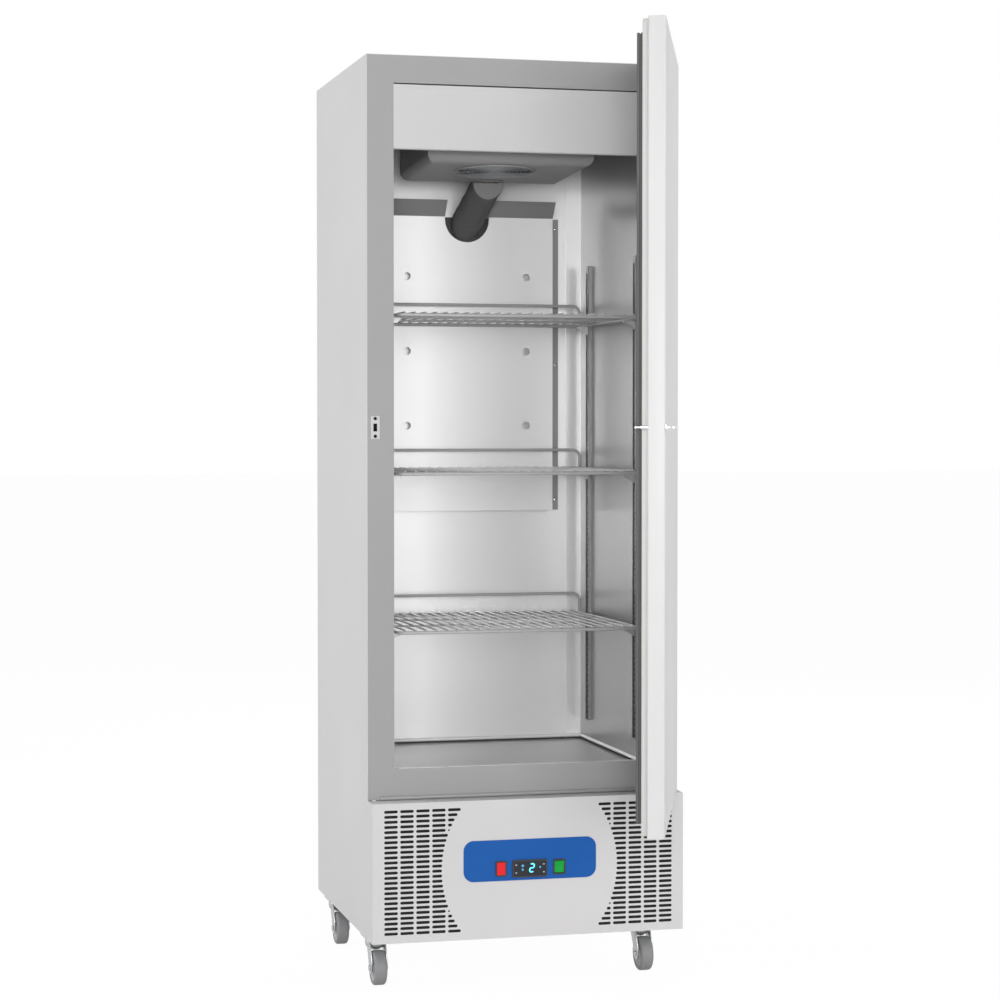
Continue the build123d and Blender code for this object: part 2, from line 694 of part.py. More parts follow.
def evaporator_fan_motor():
    """The cold fan's motor, hung from a bar between the cover's side walls."""
    fan_x, fan_y = FAN_AT
    reach = COVER_X - COVER_WALL
    low = COLD_FAN_Z + COLD_FAN[2] + 4
    top = low + 48
    motor = rod((fan_x, fan_y, low), (fan_x, fan_y, top), 28)
    motor += block((-reach, reach), (fan_y - 10, fan_y + 10), (top, top + 3))
    return motor - rod((fan_x, fan_y, low - 1), (fan_x, fan_y, low + 20), SHAFT_RADIUS + RUNNING_FIT)


def shelf_pilasters():
    """Four notched channels up the side walls, which the shelf clips hook into."""
    rails = []
    for side in (-1, 1):
        for y in PILASTER_Y:
            rails.append(pilaster(side, y))
    return Compound(rails)


def pilaster(side, middle_y):
    """One notched channel, open towards the wall."""
    half = PILASTER_WIDTH / 2
    face_x = OPENING_X - PILASTER_DEEP
    channel = block((face_x, OPENING_X), (middle_y - half, middle_y + half), PILASTER_Z)
    inner = half - PILASTER_SHEET
    hollow_x = (face_x + PILASTER_SHEET, OPENING_X + 1)
    channel -= block(hollow_x, (middle_y - inner, middle_y + inner), (0, HEIGHT))
    cuts = []
    for height in SHELF_Z:
        cuts.append(clip_hook(height, middle_y))
        for count in (-2, 2):
            low = clip_z(height) + count * NOTCH_PITCH * 2 - 3
            notch_x = (face_x - 1, face_x + PILASTER_SHEET + 1)
            cuts.append(block(notch_x, (middle_y - 5, middle_y + 5), (low, low + 6)))
    rail = channel - cuts
    return rail if side > 0 else mirror(rail, Plane.YZ)


def clip_z(height):
    """The height of a clip's upper edge at its inner end, under a shelf's wire."""
    return height - SHELF_WIRE


def clip_hook(height, middle_y):
    """The tongue of a clip where it goes through the pilaster's face."""
    low = clip_z(height) - 12
    x = (OPENING_X - PILASTER_DEEP - 0.5, OPENING_X - PILASTER_DEEP + PILASTER_SHEET + 2)
    return block(x, (middle_y - 4, middle_y + 4), (low, low + 5))


def shelf_clips():
    """Twelve clips, four under each shelf, hooked through the pilasters."""
    clips = []
    for height in SHELF_Z:
        for y in PILASTER_Y:
            top = clip_z(height)
            wall = OPENING_X - PILASTER_DEEP
            outline = make_face(Polyline(
                (wall, top),
                (CLIP_INNER_X, top),
                (CLIP_INNER_X, top - 5),
                (wall - 4, top - 15),
                (wall, top - 19),
                close=True,
            ))
            clip = extrude(Plane.XZ.offset(-y - 6) * outline, 12) + clip_hook(height, y)
            clips.append(clip)
            clips.append(mirror(clip, Plane.YZ))
    return Compound(clips)


def rail_pieces(rail, height):
    """A stop rail in straight and half bent lengths, so that the gap under it stays open."""
    bend_z = height + RAIL_RISE - RAIL_BEND
    bend_x = SHELF_X - RAIL_BEND
    cuts = [Plane(origin=(0, 0, bend_z), z_dir=(0, 0, 1))]
    for side in (-1, 1):
        cuts.append(Plane(origin=(side * bend_x, 0, bend_z), z_dir=(1, 0, 0)))
        cuts.append(Plane(origin=(side * bend_x, 0, bend_z), z_dir=(side, 0, -1)))
    lengths = [rail]
    for cut in cuts:
        halves = []
        for length in lengths:
            halves += split(length, bisect_by=cut, keep=Keep.BOTH).solids()
        lengths = halves
    return lengths


def wire_shelf(height):
    """A wire shelf: its frame, two cross bars, wires front to back and a raised stop rail."""
    lower = SHELF_Y[0]
    upper = SHELF_Y[1]
    wire = SHELF_WIRE
    loop = [
        (-SHELF_X, lower, height),
        (SHELF_X, lower, height),
        (SHELF_X, upper, height),
        (-SHELF_X, upper, height),
    ]
    pieces = [pipe(loop, wire, SHELF_CORNER, 8, close=True)]
    third = (upper - lower) / 3
    bar_radius = CROSS_WIRE + 0.25
    inside = SHELF_X - wire
    for y in (lower + third, upper - third):
        pieces.append(wire_along_x((-inside, inside), y, height + wire - bar_radius, bar_radius))
    over = height + wire + CROSS_WIRE
    count = int(2 * (SHELF_X - CROSS_PITCH / 2) / CROSS_PITCH)
    first = -count * CROSS_PITCH / 2
    reach = wire - 1
    for index in range(count + 1):
        x = first + index * CROSS_PITCH
        pieces.append(wire_along_y(x, (lower - reach, upper + reach), over, CROSS_WIRE))
    foot_y = upper - SHELF_CORNER - wire
    rail = [
        (-SHELF_X, foot_y, height + wire),
        (-SHELF_X, foot_y, height + RAIL_RISE),
        (SHELF_X, foot_y, height + RAIL_RISE),
        (SHELF_X, foot_y, height + wire),
    ]
    pieces += rail_pieces(pipe(rail, wire - 0.4, RAIL_BEND, 8), height)
    return Compound(pieces)


# Base

def base_chassis():
    """The folded floor of the base, which the castors bolt under."""
    y = (BASE_FRONT + SHEET, BACK - SHEET)
    floor = block((-INSIDE_X, INSIDE_X), y, (BASE_BOTTOM, BASE_BOTTOM + CHASSIS))
    rise_z = (BASE_BOTTOM, BASE_BOTTOM + 20)
    front_rise = block((-INSIDE_X, INSIDE_X), (y[0], y[0] + CHASSIS), rise_z)
    rear_rise = block((-INSIDE_X, INSIDE_X), (y[1] - CHASSIS, y[1]), rise_z)
    return floor + front_rise + rear_rise


def vent_slots():
    """The cooling slots in two fields, each cut off on its inner side by a wide circle."""
    slots = []
    circle_x, circle_z, circle_radius = VENT_CIRCLE
    for row in range(VENT_ROWS):
        z = VENT_TOP - row * VENT_PITCH
        inner = math.sqrt(circle_radius ** 2 - (z - circle_z) ** 2) - circle_x
        for column in range(VENT_COLUMNS):
            outer = VENT_OUTER - column * VENT_COLUMN
            start = max(outer - VENT_LENGTH, inner)
            if outer - start < VENT_LEAST:
                continue
            for side in (-1, 1):
                middle = Pos(side * (start + outer) / 2, BASE_FRONT, z)
                slots.append(middle * Box(outer - start, 4 * SHEET, VENT_HEIGHT))
    return slots


def base_front_panel():
    """The vented front of the base and the ledge along its top."""
    front = block((-INSIDE_X, INSIDE_X), (BASE_FRONT, BASE_FRONT + SHEET), (BASE_BOTTOM, BASE_TOP))
    ledge = block((-INSIDE_X, INSIDE_X), (BASE_FRONT, FRONT - 0.2), (BASE_TOP - SHEET, BASE_TOP))
    panel = front + ledge
    panel -= vent_slots()
    return panel - control_ways()


def rear_grille():
    """The sheet that closes the base's back, with upright slots and the inlet's hole."""
    sheet = block((-INSIDE_X, INSIDE_X), (BACK - SHEET, BACK), (BASE_BOTTOM, BODY_BOTTOM))
    slots = []
    for count in range(int((GRILLE_LAST - GRILLE_FIRST) / GRILLE_PITCH) + 1):
        x = GRILLE_FIRST + count * GRILLE_PITCH
        slots.append(block((x, x + GRILLE_WIDTH), (BACK - 5, BACK + 5), GRILLE_Z))
    way = rounded_plate(INLET_AT, (INLET_BODY[0], INLET_BODY[1]), 3, (BACK - 5, BACK + 5))
    return sheet - slots - way


def power_inlet():
    """The recessed appliance inlet on the back, with its three flat pins."""
    flange = rounded_plate(INLET_AT, (INLET_BODY[0] + 8, INLET_BODY[1] + 8), 4, (BACK, BACK + 2))
    body = rounded_plate(INLET_AT, INLET_BODY, 3, (BACK - 24, BACK))
    mouth = rounded_plate(INLET_AT, (INLET_BODY[0] - 4, INLET_BODY[1] - 4), 2, (BACK - 18, BACK + 3))
    inlet = flange + body - mouth
    inlet_x, inlet_z = INLET_AT
    for x, z in ((-7, -2), (0, 3), (7, -2)):
        pin_x = (inlet_x + x - 1, inlet_x + x + 1)
        pin_z = (inlet_z + z - 3, inlet_z + z + 3)
        inlet += block(pin_x, (BACK - 19, BACK - 4), pin_z)
    return inlet


# Controls

def control_ways():
    """The openings behind the control plate for the button, the controller and the rocker."""
    y = (BASE_FRONT - 5, BASE_FRONT + 5)
    ways = rounded_plate(BUTTON_AT, inset_size(BUTTON_BEZEL, BEZEL_RIM / 2), 2, y)
    ways += rounded_plate(CONTROLLER_AT, CONTROLLER_BODY, 1, y)
    return ways + rounded_plate(ROCKER_AT, inset_size(ROCKER_BEZEL, BEZEL_RIM / 2), 2, y)


def inset_size(size, inset):
    """A width and a height, both smaller by twice the inset."""
    return size[0] - 2 * inset, size[1] - 2 * inset


def control_plate():
    """The rounded plate round the controls."""
    at = (0, sum(PLATE_Z) / 2)
    size = (2 * PLATE_X, PLATE_Z[1] - PLATE_Z[0])
    plate = rounded_plate(at, size, PLATE_ROUND, (BASE_FRONT - PLATE_THICK, BASE_FRONT))
    return plate - control_ways()


def switch_bezel(at, size):
    """A frame on the plate with a sleeve behind it that the moving piece sits in."""
    face_y = BASE_FRONT - PLATE_THICK
    rim = rounded_plate(at, size, 3, (face_y - BEZEL_PROUD, face_y))
    outer = inset_size(size, BEZEL_RIM / 2)
    sleeve = rounded_plate(at, outer, 2, (face_y, face_y + SWITCH_DEPTH))
    inner = inset_size(size, BEZEL_RIM)
    hole = rounded_plate(at, inner, 1.5, (face_y - 5, face_y + SWITCH_DEPTH - 2))
    return rim + sleeve - hole


def switch_bezels():
    return Compound([switch_bezel(BUTTON_AT, BUTTON_BEZEL), switch_bezel(ROCKER_AT, ROCKER_BEZEL)])


def red_button():
    """The square push button, domed a little at its edges."""
    size = inset_size(BUTTON_BEZEL, BEZEL_RIM + MOVING_GAP)
    face_y = BASE_FRONT - PLATE_THICK - BEZEL_PROUD - 1.5
    back_y = BASE_FRONT - PLATE_THICK + SWITCH_DEPTH - 2 - BUTTON_TRAVEL - MOVING_GAP
    button = rounded_plate(BUTTON_AT, size, 1.2, (face_y, back_y))
    return chamfer(button.faces().sort_by(Axis.Y)[0].edges(), 0.8)


def green_rocker():
    """The rocker, a round-backed block with a shallow V across its face."""
    at_x, at_z = ROCKER_AT
    half = ROCKER_BEZEL[0] / 2 - BEZEL_RIM - MOVING_GAP
    middle_y = ROCKER_Y
    barrel = rod((at_x - half, middle_y, at_z), (at_x + half, middle_y, at_z), ROCKER_RADIUS)
    tilt = math.radians(ROCKER_TILT)
    rise = ROCKER_RADIUS * math.sin(tilt)
    valley = middle_y - 2
    cut = profile_yz([
        (valley, at_z),
        (valley - rise, at_z + ROCKER_RADIUS + 1),
        (valley - 30, at_z + ROCKER_RADIUS + 1),
        (valley - 30, at_z - ROCKER_RADIUS - 1),
        (valley, at_z - ROCKER_RADIUS - 1),
    ])
    return barrel - Pos(at_x - half - 1) * extrude(cut, 2 * half + 2)


def controller_housing():
    """The controller's frame and the box behind the plate."""
    face_y = BASE_FRONT - PLATE_THICK
    front_y = face_y - CONTROLLER_PROUD
    face = rounded_plate(CONTROLLER_AT, CONTROLLER_FACE, CONTROLLER_ROUND, (front_y, face_y))
    box = rounded_plate(CONTROLLER_AT, CONTROLLER_BODY, 1, (face_y, face_y + CONTROLLER_DEPTH))
    size = inset_size(CONTROLLER_FACE, CONTROLLER_RIM)
    window_y = (front_y - 1, face_y - CONTROLLER_PROUD / 2)
    return face + box - rounded_plate(CONTROLLER_AT, size, CONTROLLER_ROUND - 1, window_y)


def controller_window():
    """The clear cover over the display and the soft keys."""
    face_y = BASE_FRONT - PLATE_THICK
    size = inset_size(CONTROLLER_FACE, CONTROLLER_RIM)
    window_y = (face_y - CONTROLLER_PROUD - 0.2, face_y - CONTROLLER_PROUD / 2)
    return rounded_plate(CONTROLLER_AT, size, CONTROLLER_ROUND - 1, window_y)


# Hinges and strike

def hinge_bracket(low, leg):
    """A bracket's tongue under or over the door, and its leg on the frame."""
    tongue_z = (low, low + BRACKET_TONGUE)
    tongue = block((BRACKET_X[0], BRACKET_X[2]), (BRACKET_FRONT, FRONT - 0.2), tongue_z)
    beside_z = (low - 1, low + BRACKET_TONGUE + 1)
    tongue -= block((BRACKET_X[1], BRACKET_X[2] + 1), (FRONT - 4, FRONT), beside_z)
    leg_y = (FRONT - BRACKET_SHEET, FRONT)
    plate = block((BRACKET_X[0], BRACKET_X[1]), leg_y, leg)
    return tongue + plate


def hinge_brackets():
    """The lower and the upper bracket, each one piece with its pin."""
    low_plate = DOOR_BOTTOM - BRACKET_GAP - BRACKET_TONGUE
    high_plate = DOOR_TOP + BRACKET_GAP
    lower = hinge_bracket(low_plate, (low_plate, BODY_BOTTOM + BRACKET_LEG[0]))
    lower_end = DOOR_BOTTOM + PIN_REACH
    lower += rod((HINGE_X, HINGE_Y, low_plate), (HINGE_X, HINGE_Y, lower_end), PIN_RADIUS)
    upper = hinge_bracket(high_plate, (HEIGHT - BRACKET_LEG[1], high_plate + BRACKET_TONGUE))
    upper_end = DOOR_TOP - PIN_REACH
    upper += rod((HINGE_X, HINGE_Y, upper_end), (HINGE_X, HINGE_Y, high_plate), PIN_RADIUS)
    return Compound([lower - screw_shanks(), upper - screw_shanks()])


def strike_plate():
    """The plate on the left frame with the slot that the lock's bolt enters."""
    plate = block(STRIKE_X, (FRONT - STRIKE_PLATE, FRONT), STRIKE_Z)
    return plate - strike_pocket() - screw_shanks()


# Door

def door_form(inset, y, z):
    """The door's outer form between two levels, with its two front corners rounded."""
    form = block((inset - DOOR_X, DOOR_X - inset), y, z)
    front_edges = form.edges().filter_by(Axis.Z).group_by(Axis.Y)[0]
    return fillet(front_edges, DOOR_FRONT_ROUND - inset)


def door_bores():
    """The two holes that the hinge bushes fill and the one that the lock's barrel fills."""
    length = BUSH_LENGTH
    bores = rod((HINGE_X, HINGE_Y, DOOR_BOTTOM - 1), (HINGE_X, HINGE_Y, DOOR_BOTTOM + length), BUSH_RADIUS)
    bores += rod((HINGE_X, HINGE_Y, DOOR_TOP - length), (HINGE_X, HINGE_Y, DOOR_TOP + 1), BUSH_RADIUS)
    lock_radius = BARREL_RADIUS + RUNNING_FIT
    start = (LOCK_X, DOOR_OUTER_Y - 5, LOCK_Z)
    return bores + rod(start, (LOCK_X, DOOR_INNER_Y, LOCK_Z), lock_radius)


def door_outer_pan():
    """The door's outer sheet, folded back along all four edges."""
    pan_back = DOOR_OUTER_Y + DOOR_PAN_DEPTH
    outer = door_form(0, (DOOR_OUTER_Y, pan_back), (DOOR_BOTTOM, DOOR_TOP))
    hollow_z = (DOOR_BOTTOM + SHEET, DOOR_TOP - SHEET)
    hollow = door_form(SHEET, (DOOR_OUTER_Y + SHEET, pan_back + 1), hollow_z)
    return outer - hollow - door_bores()


def door_inner_pan():
    """The door's raised inner sheet and the flange that closes the outer pan."""
    pan_back = DOOR_OUTER_Y + DOOR_PAN_DEPTH
    half = DOOR_X - DOOR_RECESS
    z = (DOOR_BOTTOM + DOOR_STEP, DOOR_TOP - DOOR_STEP)
    flange = block((-DOOR_X, DOOR_X), (pan_back, pan_back + SHEET), (DOOR_BOTTOM, DOOR_TOP))
    raised = block((-half, half), (pan_back, DOOR_INNER_Y), z)
    inside = half - SHEET
    hollow = block((-inside, inside), (pan_back - 1, DOOR_INNER_Y - SHEET), (z[0] + SHEET, z[1] - SHEET))
    return flange + raised - hollow - door_bores()


def door_foam():
    """The insulation between the door's two sheets."""
    pan_back = DOOR_OUTER_Y + DOOR_PAN_DEPTH
    outer_z = (DOOR_BOTTOM + SHEET, DOOR_TOP - SHEET)
    foam = door_form(SHEET, (DOOR_OUTER_Y + SHEET, pan_back), outer_z)
    inside = DOOR_X - DOOR_RECESS - SHEET
    inner_z = (DOOR_BOTTOM + DOOR_STEP + SHEET, DOOR_TOP - DOOR_STEP - SHEET)
    foam += block((-inside, inside), (pan_back, DOOR_INNER_Y - SHEET), inner_z)
    return foam - door_bores()


def door_gasket():
    """The seal: a foot on the door, a narrow bellows and a magnet bar towards the frame."""
    seal_y = FRONT - SEAL_GAP
    foot = frame_ring(GASKET_X, GASKET_Z, GASKET_WIDTH, (DOOR_INNER_Y, DOOR_INNER_Y + 4))
    inset = 3
    bar_z = (GASKET_Z[0] + inset, GASKET_Z[1] - inset)
    bar = frame_ring(GASKET_X - inset, bar_z, GASKET_WIDTH - 2 * inset, (seal_y - 5, seal_y))
    neck_z = (GASKET_Z[0] + 2 * inset, GASKET_Z[1] - 2 * inset)
    neck_y = (DOOR_INNER_Y + 4, seal_y - 5)
    neck = frame_ring(GASKET_X - 2 * inset, neck_z, GASKET_WIDTH - 4 * inset, neck_y)
    return foot + neck + bar


def door_hinge_bushes():
    """The two plain bushes in the door that turn on the brackets' pins."""
    bushes = []
    for low, high in (
        (DOOR_BOTTOM, DOOR_BOTTOM + BUSH_LENGTH),
        (DOOR_TOP - BUSH_LENGTH, DOOR_TOP),
    ):
        bush = rod((HINGE_X, HINGE_Y, low), (HINGE_X, HINGE_Y, high), BUSH_RADIUS)
        bore = rod((HINGE_X, HINGE_Y, low), (HINGE_X, HINGE_Y, high), PIN_RADIUS + RUNNING_FIT)
        bushes.append(bush - bore)
    return Compound(bushes)


def lock_escutcheon():
    """The round cover plate on the door's face that the lock's barrel turns in."""
    front = DOOR_OUTER_Y - ESCUTCHEON[1]
    ring = rod((LOCK_X, front, LOCK_Z), (LOCK_X, DOOR_OUTER_Y, LOCK_Z), ESCUTCHEON[0])
    hole_radius = BARREL_RADIUS + RUNNING_FIT
    return ring - rod((LOCK_X, front - 1, LOCK_Z), (LOCK_X, DOOR_OUTER_Y, LOCK_Z), hole_radius)


def lock_barrel():
    """The lock's turning barrel, its keyway and the headed bolt behind the door."""
    pan_back = DOOR_OUTER_Y + DOOR_PAN_DEPTH
    front = DOOR_OUTER_Y - BARREL_PROUD
    lock = rod((LOCK_X, front, LOCK_Z), (LOCK_X, pan_back + SHEET, LOCK_Z), BARREL_RADIUS)
    start = pan_back + SHEET
    for end, radius in BOLT_STEPS:
        lock += rod((LOCK_X, start, LOCK_Z), (LOCK_X, DOOR_INNER_Y + end, LOCK_Z), radius)
        start = DOOR_INNER_Y + end
    return lock - key_blade()


def key_blade():
    """The key's flat blade, lying level in the barrel."""
    half_x, half_z = KEY_BLADE
    x = (LOCK_X - half_x, LOCK_X + half_x)
    return block(x, (DOOR_OUTER_Y - 6, DOOR_OUTER_Y + 18), (LOCK_Z - half_z, LOCK_Z + half_z))


def lock_key():
    """The key, its blade in the barrel and its round bow in front of the door."""
    bow_radius, hole_radius = KEY_BOW
    bow_y = DOOR_OUTER_Y - 15
    bow = Pos(LOCK_X, bow_y, LOCK_Z) * Cylinder(bow_radius, 2 * KEY_BLADE[1])
    bow -= Pos(LOCK_X, bow_y - bow_radius / 2, LOCK_Z) * Cylinder(hole_radius, 4 * KEY_BLADE[1])
    return bow + key_blade()


# Castors

def castor_mounts():
    """The four fixed castor plates under the base, each with a recess for the kingpin's head."""
    mounts = []
    width, deep, thick = CASTOR_PLATE
    for x, y in SWIVELS.values():
        plate_x = math.copysign(min(abs(x), INSIDE_X - width / 2), x)
        z = (BASE_BOTTOM - thick, BASE_BOTTOM)
        plate = block((plate_x - width / 2, plate_x + width / 2), (y - deep / 2, y + deep / 2), z)
        plate -= rod((x, y, 0), (x, y, BASE_BOTTOM), KING_RADIUS + RUNNING_FIT)
        plate -= prism((x, y, BASE_BOTTOM - 2.5), 2.5, 8.5)
        mounts.append(plate)
    return Compound(mounts)


def castor_fork(x, y):
    """A swivelling fork: crown, two cheeks, the axle between them and the kingpin."""
    crown_top = BASE_BOTTOM - CASTOR_PLATE[2] - 0.3
    cheek_x = WHEEL_WIDTH / 2 + 1.5
    cheek = 2.5
    axle_y = y - WHEEL_TRAIL
    outline = make_face(Polyline(
        (y + 20, crown_top),
        (y - 22, crown_top),
        (axle_y - 9, WHEEL_RADIUS + 3),
        (axle_y - 6, WHEEL_RADIUS - 8),
        (axle_y + 6, WHEEL_RADIUS - 8),
        (axle_y + 12, WHEEL_RADIUS + 6),
        close=True,
    ))
    face = Plane.YZ * outline
    fork = Pos(x - cheek_x - cheek) * extrude(face, cheek)
    fork += Pos(x + cheek_x) * extrude(face, cheek)
    fork += prism((x, y, crown_top - 4), 4, 22)
    reach = cheek_x + cheek + 3
    fork += rod((x - reach, axle_y, WHEEL_RADIUS), (x + reach, axle_y, WHEEL_RADIUS), AXLE_RADIUS)
    fork += rod((x, y, crown_top - 1), (x, y, BASE_BOTTOM - 1), KING_RADIUS)
    return fork + prism((x, y, BASE_BOTTOM - 2.2), 1.8, 7.2, 6)


def castor_wheel(x, y):
    """A wheel with a chamfered tread and a bore that runs on the axle."""
    half = WHEEL_WIDTH / 2
    bore = AXLE_RADIUS + RUNNING_FIT
    profile = make_face(Polyline(
        (half, bore),
        (half, WHEEL_RADIUS - 4),
        (half - 4, WHEEL_RADIUS),
        (4 - half, WHEEL_RADIUS),
        (-half, WHEEL_RADIUS - 4),
        (-half, bore),
        close=True,
    ))
    return Pos(x, y - WHEEL_TRAIL, WHEEL_RADIUS) * revolve(profile, Axis.X)


# Cooling unit in the base

def compressor():
    """The sealed compressor on its foot plate, with two pipe stubs and its terminal box."""
    x, y = COMPRESSOR_AT
    foot_top = BASE_BOTTOM + CHASSIS + 15
    radius = COMPRESSOR_RADIUS
    shell = rod((x, y, foot_top), (x, y, foot_top + 195), radius)
    shell = chamfer(shell.edges().filter_by(GeomType.CIRCLE), 26)
    plate = block((x - 95, x + 95), (y - 60, y + 60), (foot_top - 2, foot_top + 3))
    for foot_x in (x - 82, x + 82):
        for foot_y in (y - 48, y + 48):
            plate += rod((foot_x, foot_y, BASE_BOTTOM + CHASSIS), (foot_x, foot_y, foot_top - 2), 10)
    shell += plate + block((x + 60, x + 108), (y - 30, y + 30), (180, 270))
    stub_x = (x - radius - STUB_PROUD, x)
    shell += wire_along_x(stub_x, y, SUCTION_Z, SUCTION_RADIUS + STUB_WALL)
    return shell + wire_along_x(stub_x, y - DISCHARGE_SIDE, DISCHARGE_Z[0], LIQUID_RADIUS + STUB_WALL)


def condenser_coil():
    """The finned condenser behind the left vents, standing on its end plates."""
    coil = finned_coil(CONDENSER_X, CONDENSER_Y, CONDENSER_Z, COIL_FINS)
    for x in (CONDENSER_X[0] - END_PLATE, CONDENSER_X[1]):
        plate_z = (BASE_BOTTOM + CHASSIS, CONDENSER_Z[1])
        coil += block((x, x + END_PLATE), CONDENSER_Y, plate_z)
    middle = sum(CONDENSER_Y) / 2
    stub = (CONDENSER_X[1], CONDENSER_X[1] + STUB_LENGTH)
    coil += wire_along_x(stub, middle, LIQUID_Z, LIQUID_RADIUS + STUB_WALL)
    return coil + wire_along_x(stub, middle, DISCHARGE_Z[1], LIQUID_RADIUS + STUB_WALL)


def condenser_fan_motor():
    """The cooling fan's motor on its bar, and the shroud that holds both to the condenser."""
    x, z = COOLING_FAN_AT
    front = CONDENSER_Y[1]
    edge_x = (CONDENSER_X[0], CONDENSER_X[1])
    shroud = block(edge_x, (front, front + 40), CONDENSER_Z)
    hollow_x = (edge_x[0] + 2, edge_x[1] - 2)
    shroud -= block(hollow_x, (front - 1, front + 38), (CONDENSER_Z[0] + 2, CONDENSER_Z[1] - 2))
    shroud -= rod((x, front, z), (x, front + 60, z), COOLING_FAN[0] + 6)
    motor = rod((x, front + 66, z), (x, front + 116, z), 34)
    motor += block(edge_x, (front + 66, front + 69), (z - 12, z + 12))
    for arm_x in (edge_x[0], edge_x[1] - 3):
        motor += block((arm_x, arm_x + 3), (front + 39, front + 69), (z - 12, z + 12))
    motor -= rod((x, front + 60, z), (x, front + 90, z), SHAFT_RADIUS + RUNNING_FIT)
    return motor + shroud


def condenser_fan():
    """The cooling fan's wheel and shaft, turned to blow towards the back."""
    x, z = COOLING_FAN_AT
    hub_top = COOLING_FAN[2]
    wheel = fan_wheel(*COOLING_FAN) + rod((0, 0, hub_top), (0, 0, 2 * hub_top), SHAFT_RADIUS)
    return Pos(x, CONDENSER_Y[1] + 27, z) * Rot(-90, 0, 0) * wheel


def melt_water_tray():
    """The open tray on the base's floor that the drain hose ends over."""
    z = (BASE_BOTTOM + CHASSIS, TRAY_TOP)
    wall = TRAY_WALL
    hollow_x = (TRAY_X[0] + wall, TRAY_X[1] - wall)
    hollow_y = (TRAY_Y[0] + wall, TRAY_Y[1] - wall)
    return block(TRAY_X, TRAY_Y, z) - block(hollow_x, hollow_y, (z[0] + wall, z[1] + 1))


BODY_PIECES = {
    "side_panel_left": lambda: side_panel(-1),
    "side_panel_right": lambda: side_panel(1),
    "top_panel": top_panel,
    "back_panel": back_panel,
    "bottom_panel": bottom_panel,
    "front_frame": front_frame,
    "inner_liner": inner_liner,
    "insulation_foam": insulation_foam,
    "fascia_panel": fascia_panel,
    "sill_trim": sill_trim,
    "duct_panel": duct_panel,
    "panel_screws": panel_screws,
    "pipe_sleeve": pipe_sleeve,
    "refrigerant_lines": refrigerant_lines,
    "drain_hose": drain_hose,
    "evaporator_cover": evaporator_cover,
    "evaporator_coil": evaporator_coil,
    "evaporator_fan_motor": evaporator_fan_motor,
    "fan_guard": fan_guard,
    "shelf_pilasters": shelf_pilasters,
    "shelf_clips": shelf_clips,
    "strike_plate": strike_plate,
    "hinge_brackets": hinge_brackets,
    "base_chassis": base_chassis,
    "base_front_panel": base_front_panel,
    "rear_grille": rear_grille,
    "power_inlet": power_inlet,
    "control_plate": control_plate,
    "controller_housing": controller_housing,
    "controller_window": controller_window,
    "switch_bezels": switch_bezels,
    "castor_mounts": castor_mounts,
    "compressor": compressor,
    "condenser_coil": condenser_coil,
    "condenser_fan_motor": condenser_fan_motor,
    "melt_water_tray": melt_water_tray,
    "evaporator_fan": evaporator_fan,
    "condenser_fan": condenser_fan,
    "red_button": red_button,
    "green_rocker": green_rocker,
    "shelf_bottom": lambda: wire_shelf(SHELF_Z[0]),
    "shelf_middle": lambda: wire_shelf(SHELF_Z[1]),
    "shelf_top": lambda: wire_shelf(SHELF_Z[2]),
}

DOOR_PIECES = {
    "door_outer_pan": door_outer_pan,
    "door_inner_pan": door_inner_pan,
    "door_foam": door_foam,
    "door_gasket": door_gasket,
    "door_hinge_bushes": door_hinge_bushes,
    "lock_escutcheon": lock_escutcheon,
    "lock_barrel": lock_barrel,
    "lock_key": lock_key,
}


def save(name, shape):
    """Writes one piece, moved so that the origin is under the middle of the whole outline."""
    export_step(Pos(0, BODY_SHIFT) * shape, f"parts/{name}.step")


def main():
    os.makedirs("parts", exist_ok=True)
    for name, make in BODY_PIECES.items():
        save(name, make())
    for name, make in DOOR_PIECES.items():
        save(name, opened(make()))
    for place, (x, y) in SWIVELS.items():
        save(f"castor_fork_{place}", castor_fork(x, y))
        save(f"castor_wheel_{place}", castor_wheel(x, y))


main()
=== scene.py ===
"""A one-door upright refrigerator on castors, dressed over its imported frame, in metres."""

import json
import logging
import math
from dataclasses import dataclass
from enum import Enum
from typing import Sequence

import bmesh
import bpy
from mathutils import Matrix, Vector

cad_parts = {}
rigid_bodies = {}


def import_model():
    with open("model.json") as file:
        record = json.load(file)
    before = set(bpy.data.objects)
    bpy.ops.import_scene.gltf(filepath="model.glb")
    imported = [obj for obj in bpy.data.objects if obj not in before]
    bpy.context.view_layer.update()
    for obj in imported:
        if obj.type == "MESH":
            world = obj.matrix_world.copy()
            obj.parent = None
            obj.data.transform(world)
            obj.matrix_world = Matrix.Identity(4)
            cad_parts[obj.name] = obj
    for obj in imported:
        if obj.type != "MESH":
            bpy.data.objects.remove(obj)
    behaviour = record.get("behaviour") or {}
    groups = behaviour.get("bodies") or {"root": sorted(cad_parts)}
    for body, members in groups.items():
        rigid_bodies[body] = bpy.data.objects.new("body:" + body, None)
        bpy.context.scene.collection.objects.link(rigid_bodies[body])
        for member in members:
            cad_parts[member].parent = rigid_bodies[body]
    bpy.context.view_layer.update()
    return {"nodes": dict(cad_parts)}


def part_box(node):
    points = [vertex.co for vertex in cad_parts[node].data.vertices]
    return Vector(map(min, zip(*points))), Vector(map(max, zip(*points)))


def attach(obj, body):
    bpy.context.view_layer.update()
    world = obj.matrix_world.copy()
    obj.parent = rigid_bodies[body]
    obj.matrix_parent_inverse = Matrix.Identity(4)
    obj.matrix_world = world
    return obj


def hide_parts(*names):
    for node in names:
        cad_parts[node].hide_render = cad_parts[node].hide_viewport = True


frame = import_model()
log = logging.getLogger("refrigerator")

Point = tuple[float, float, float]
Flat = tuple[float, float]

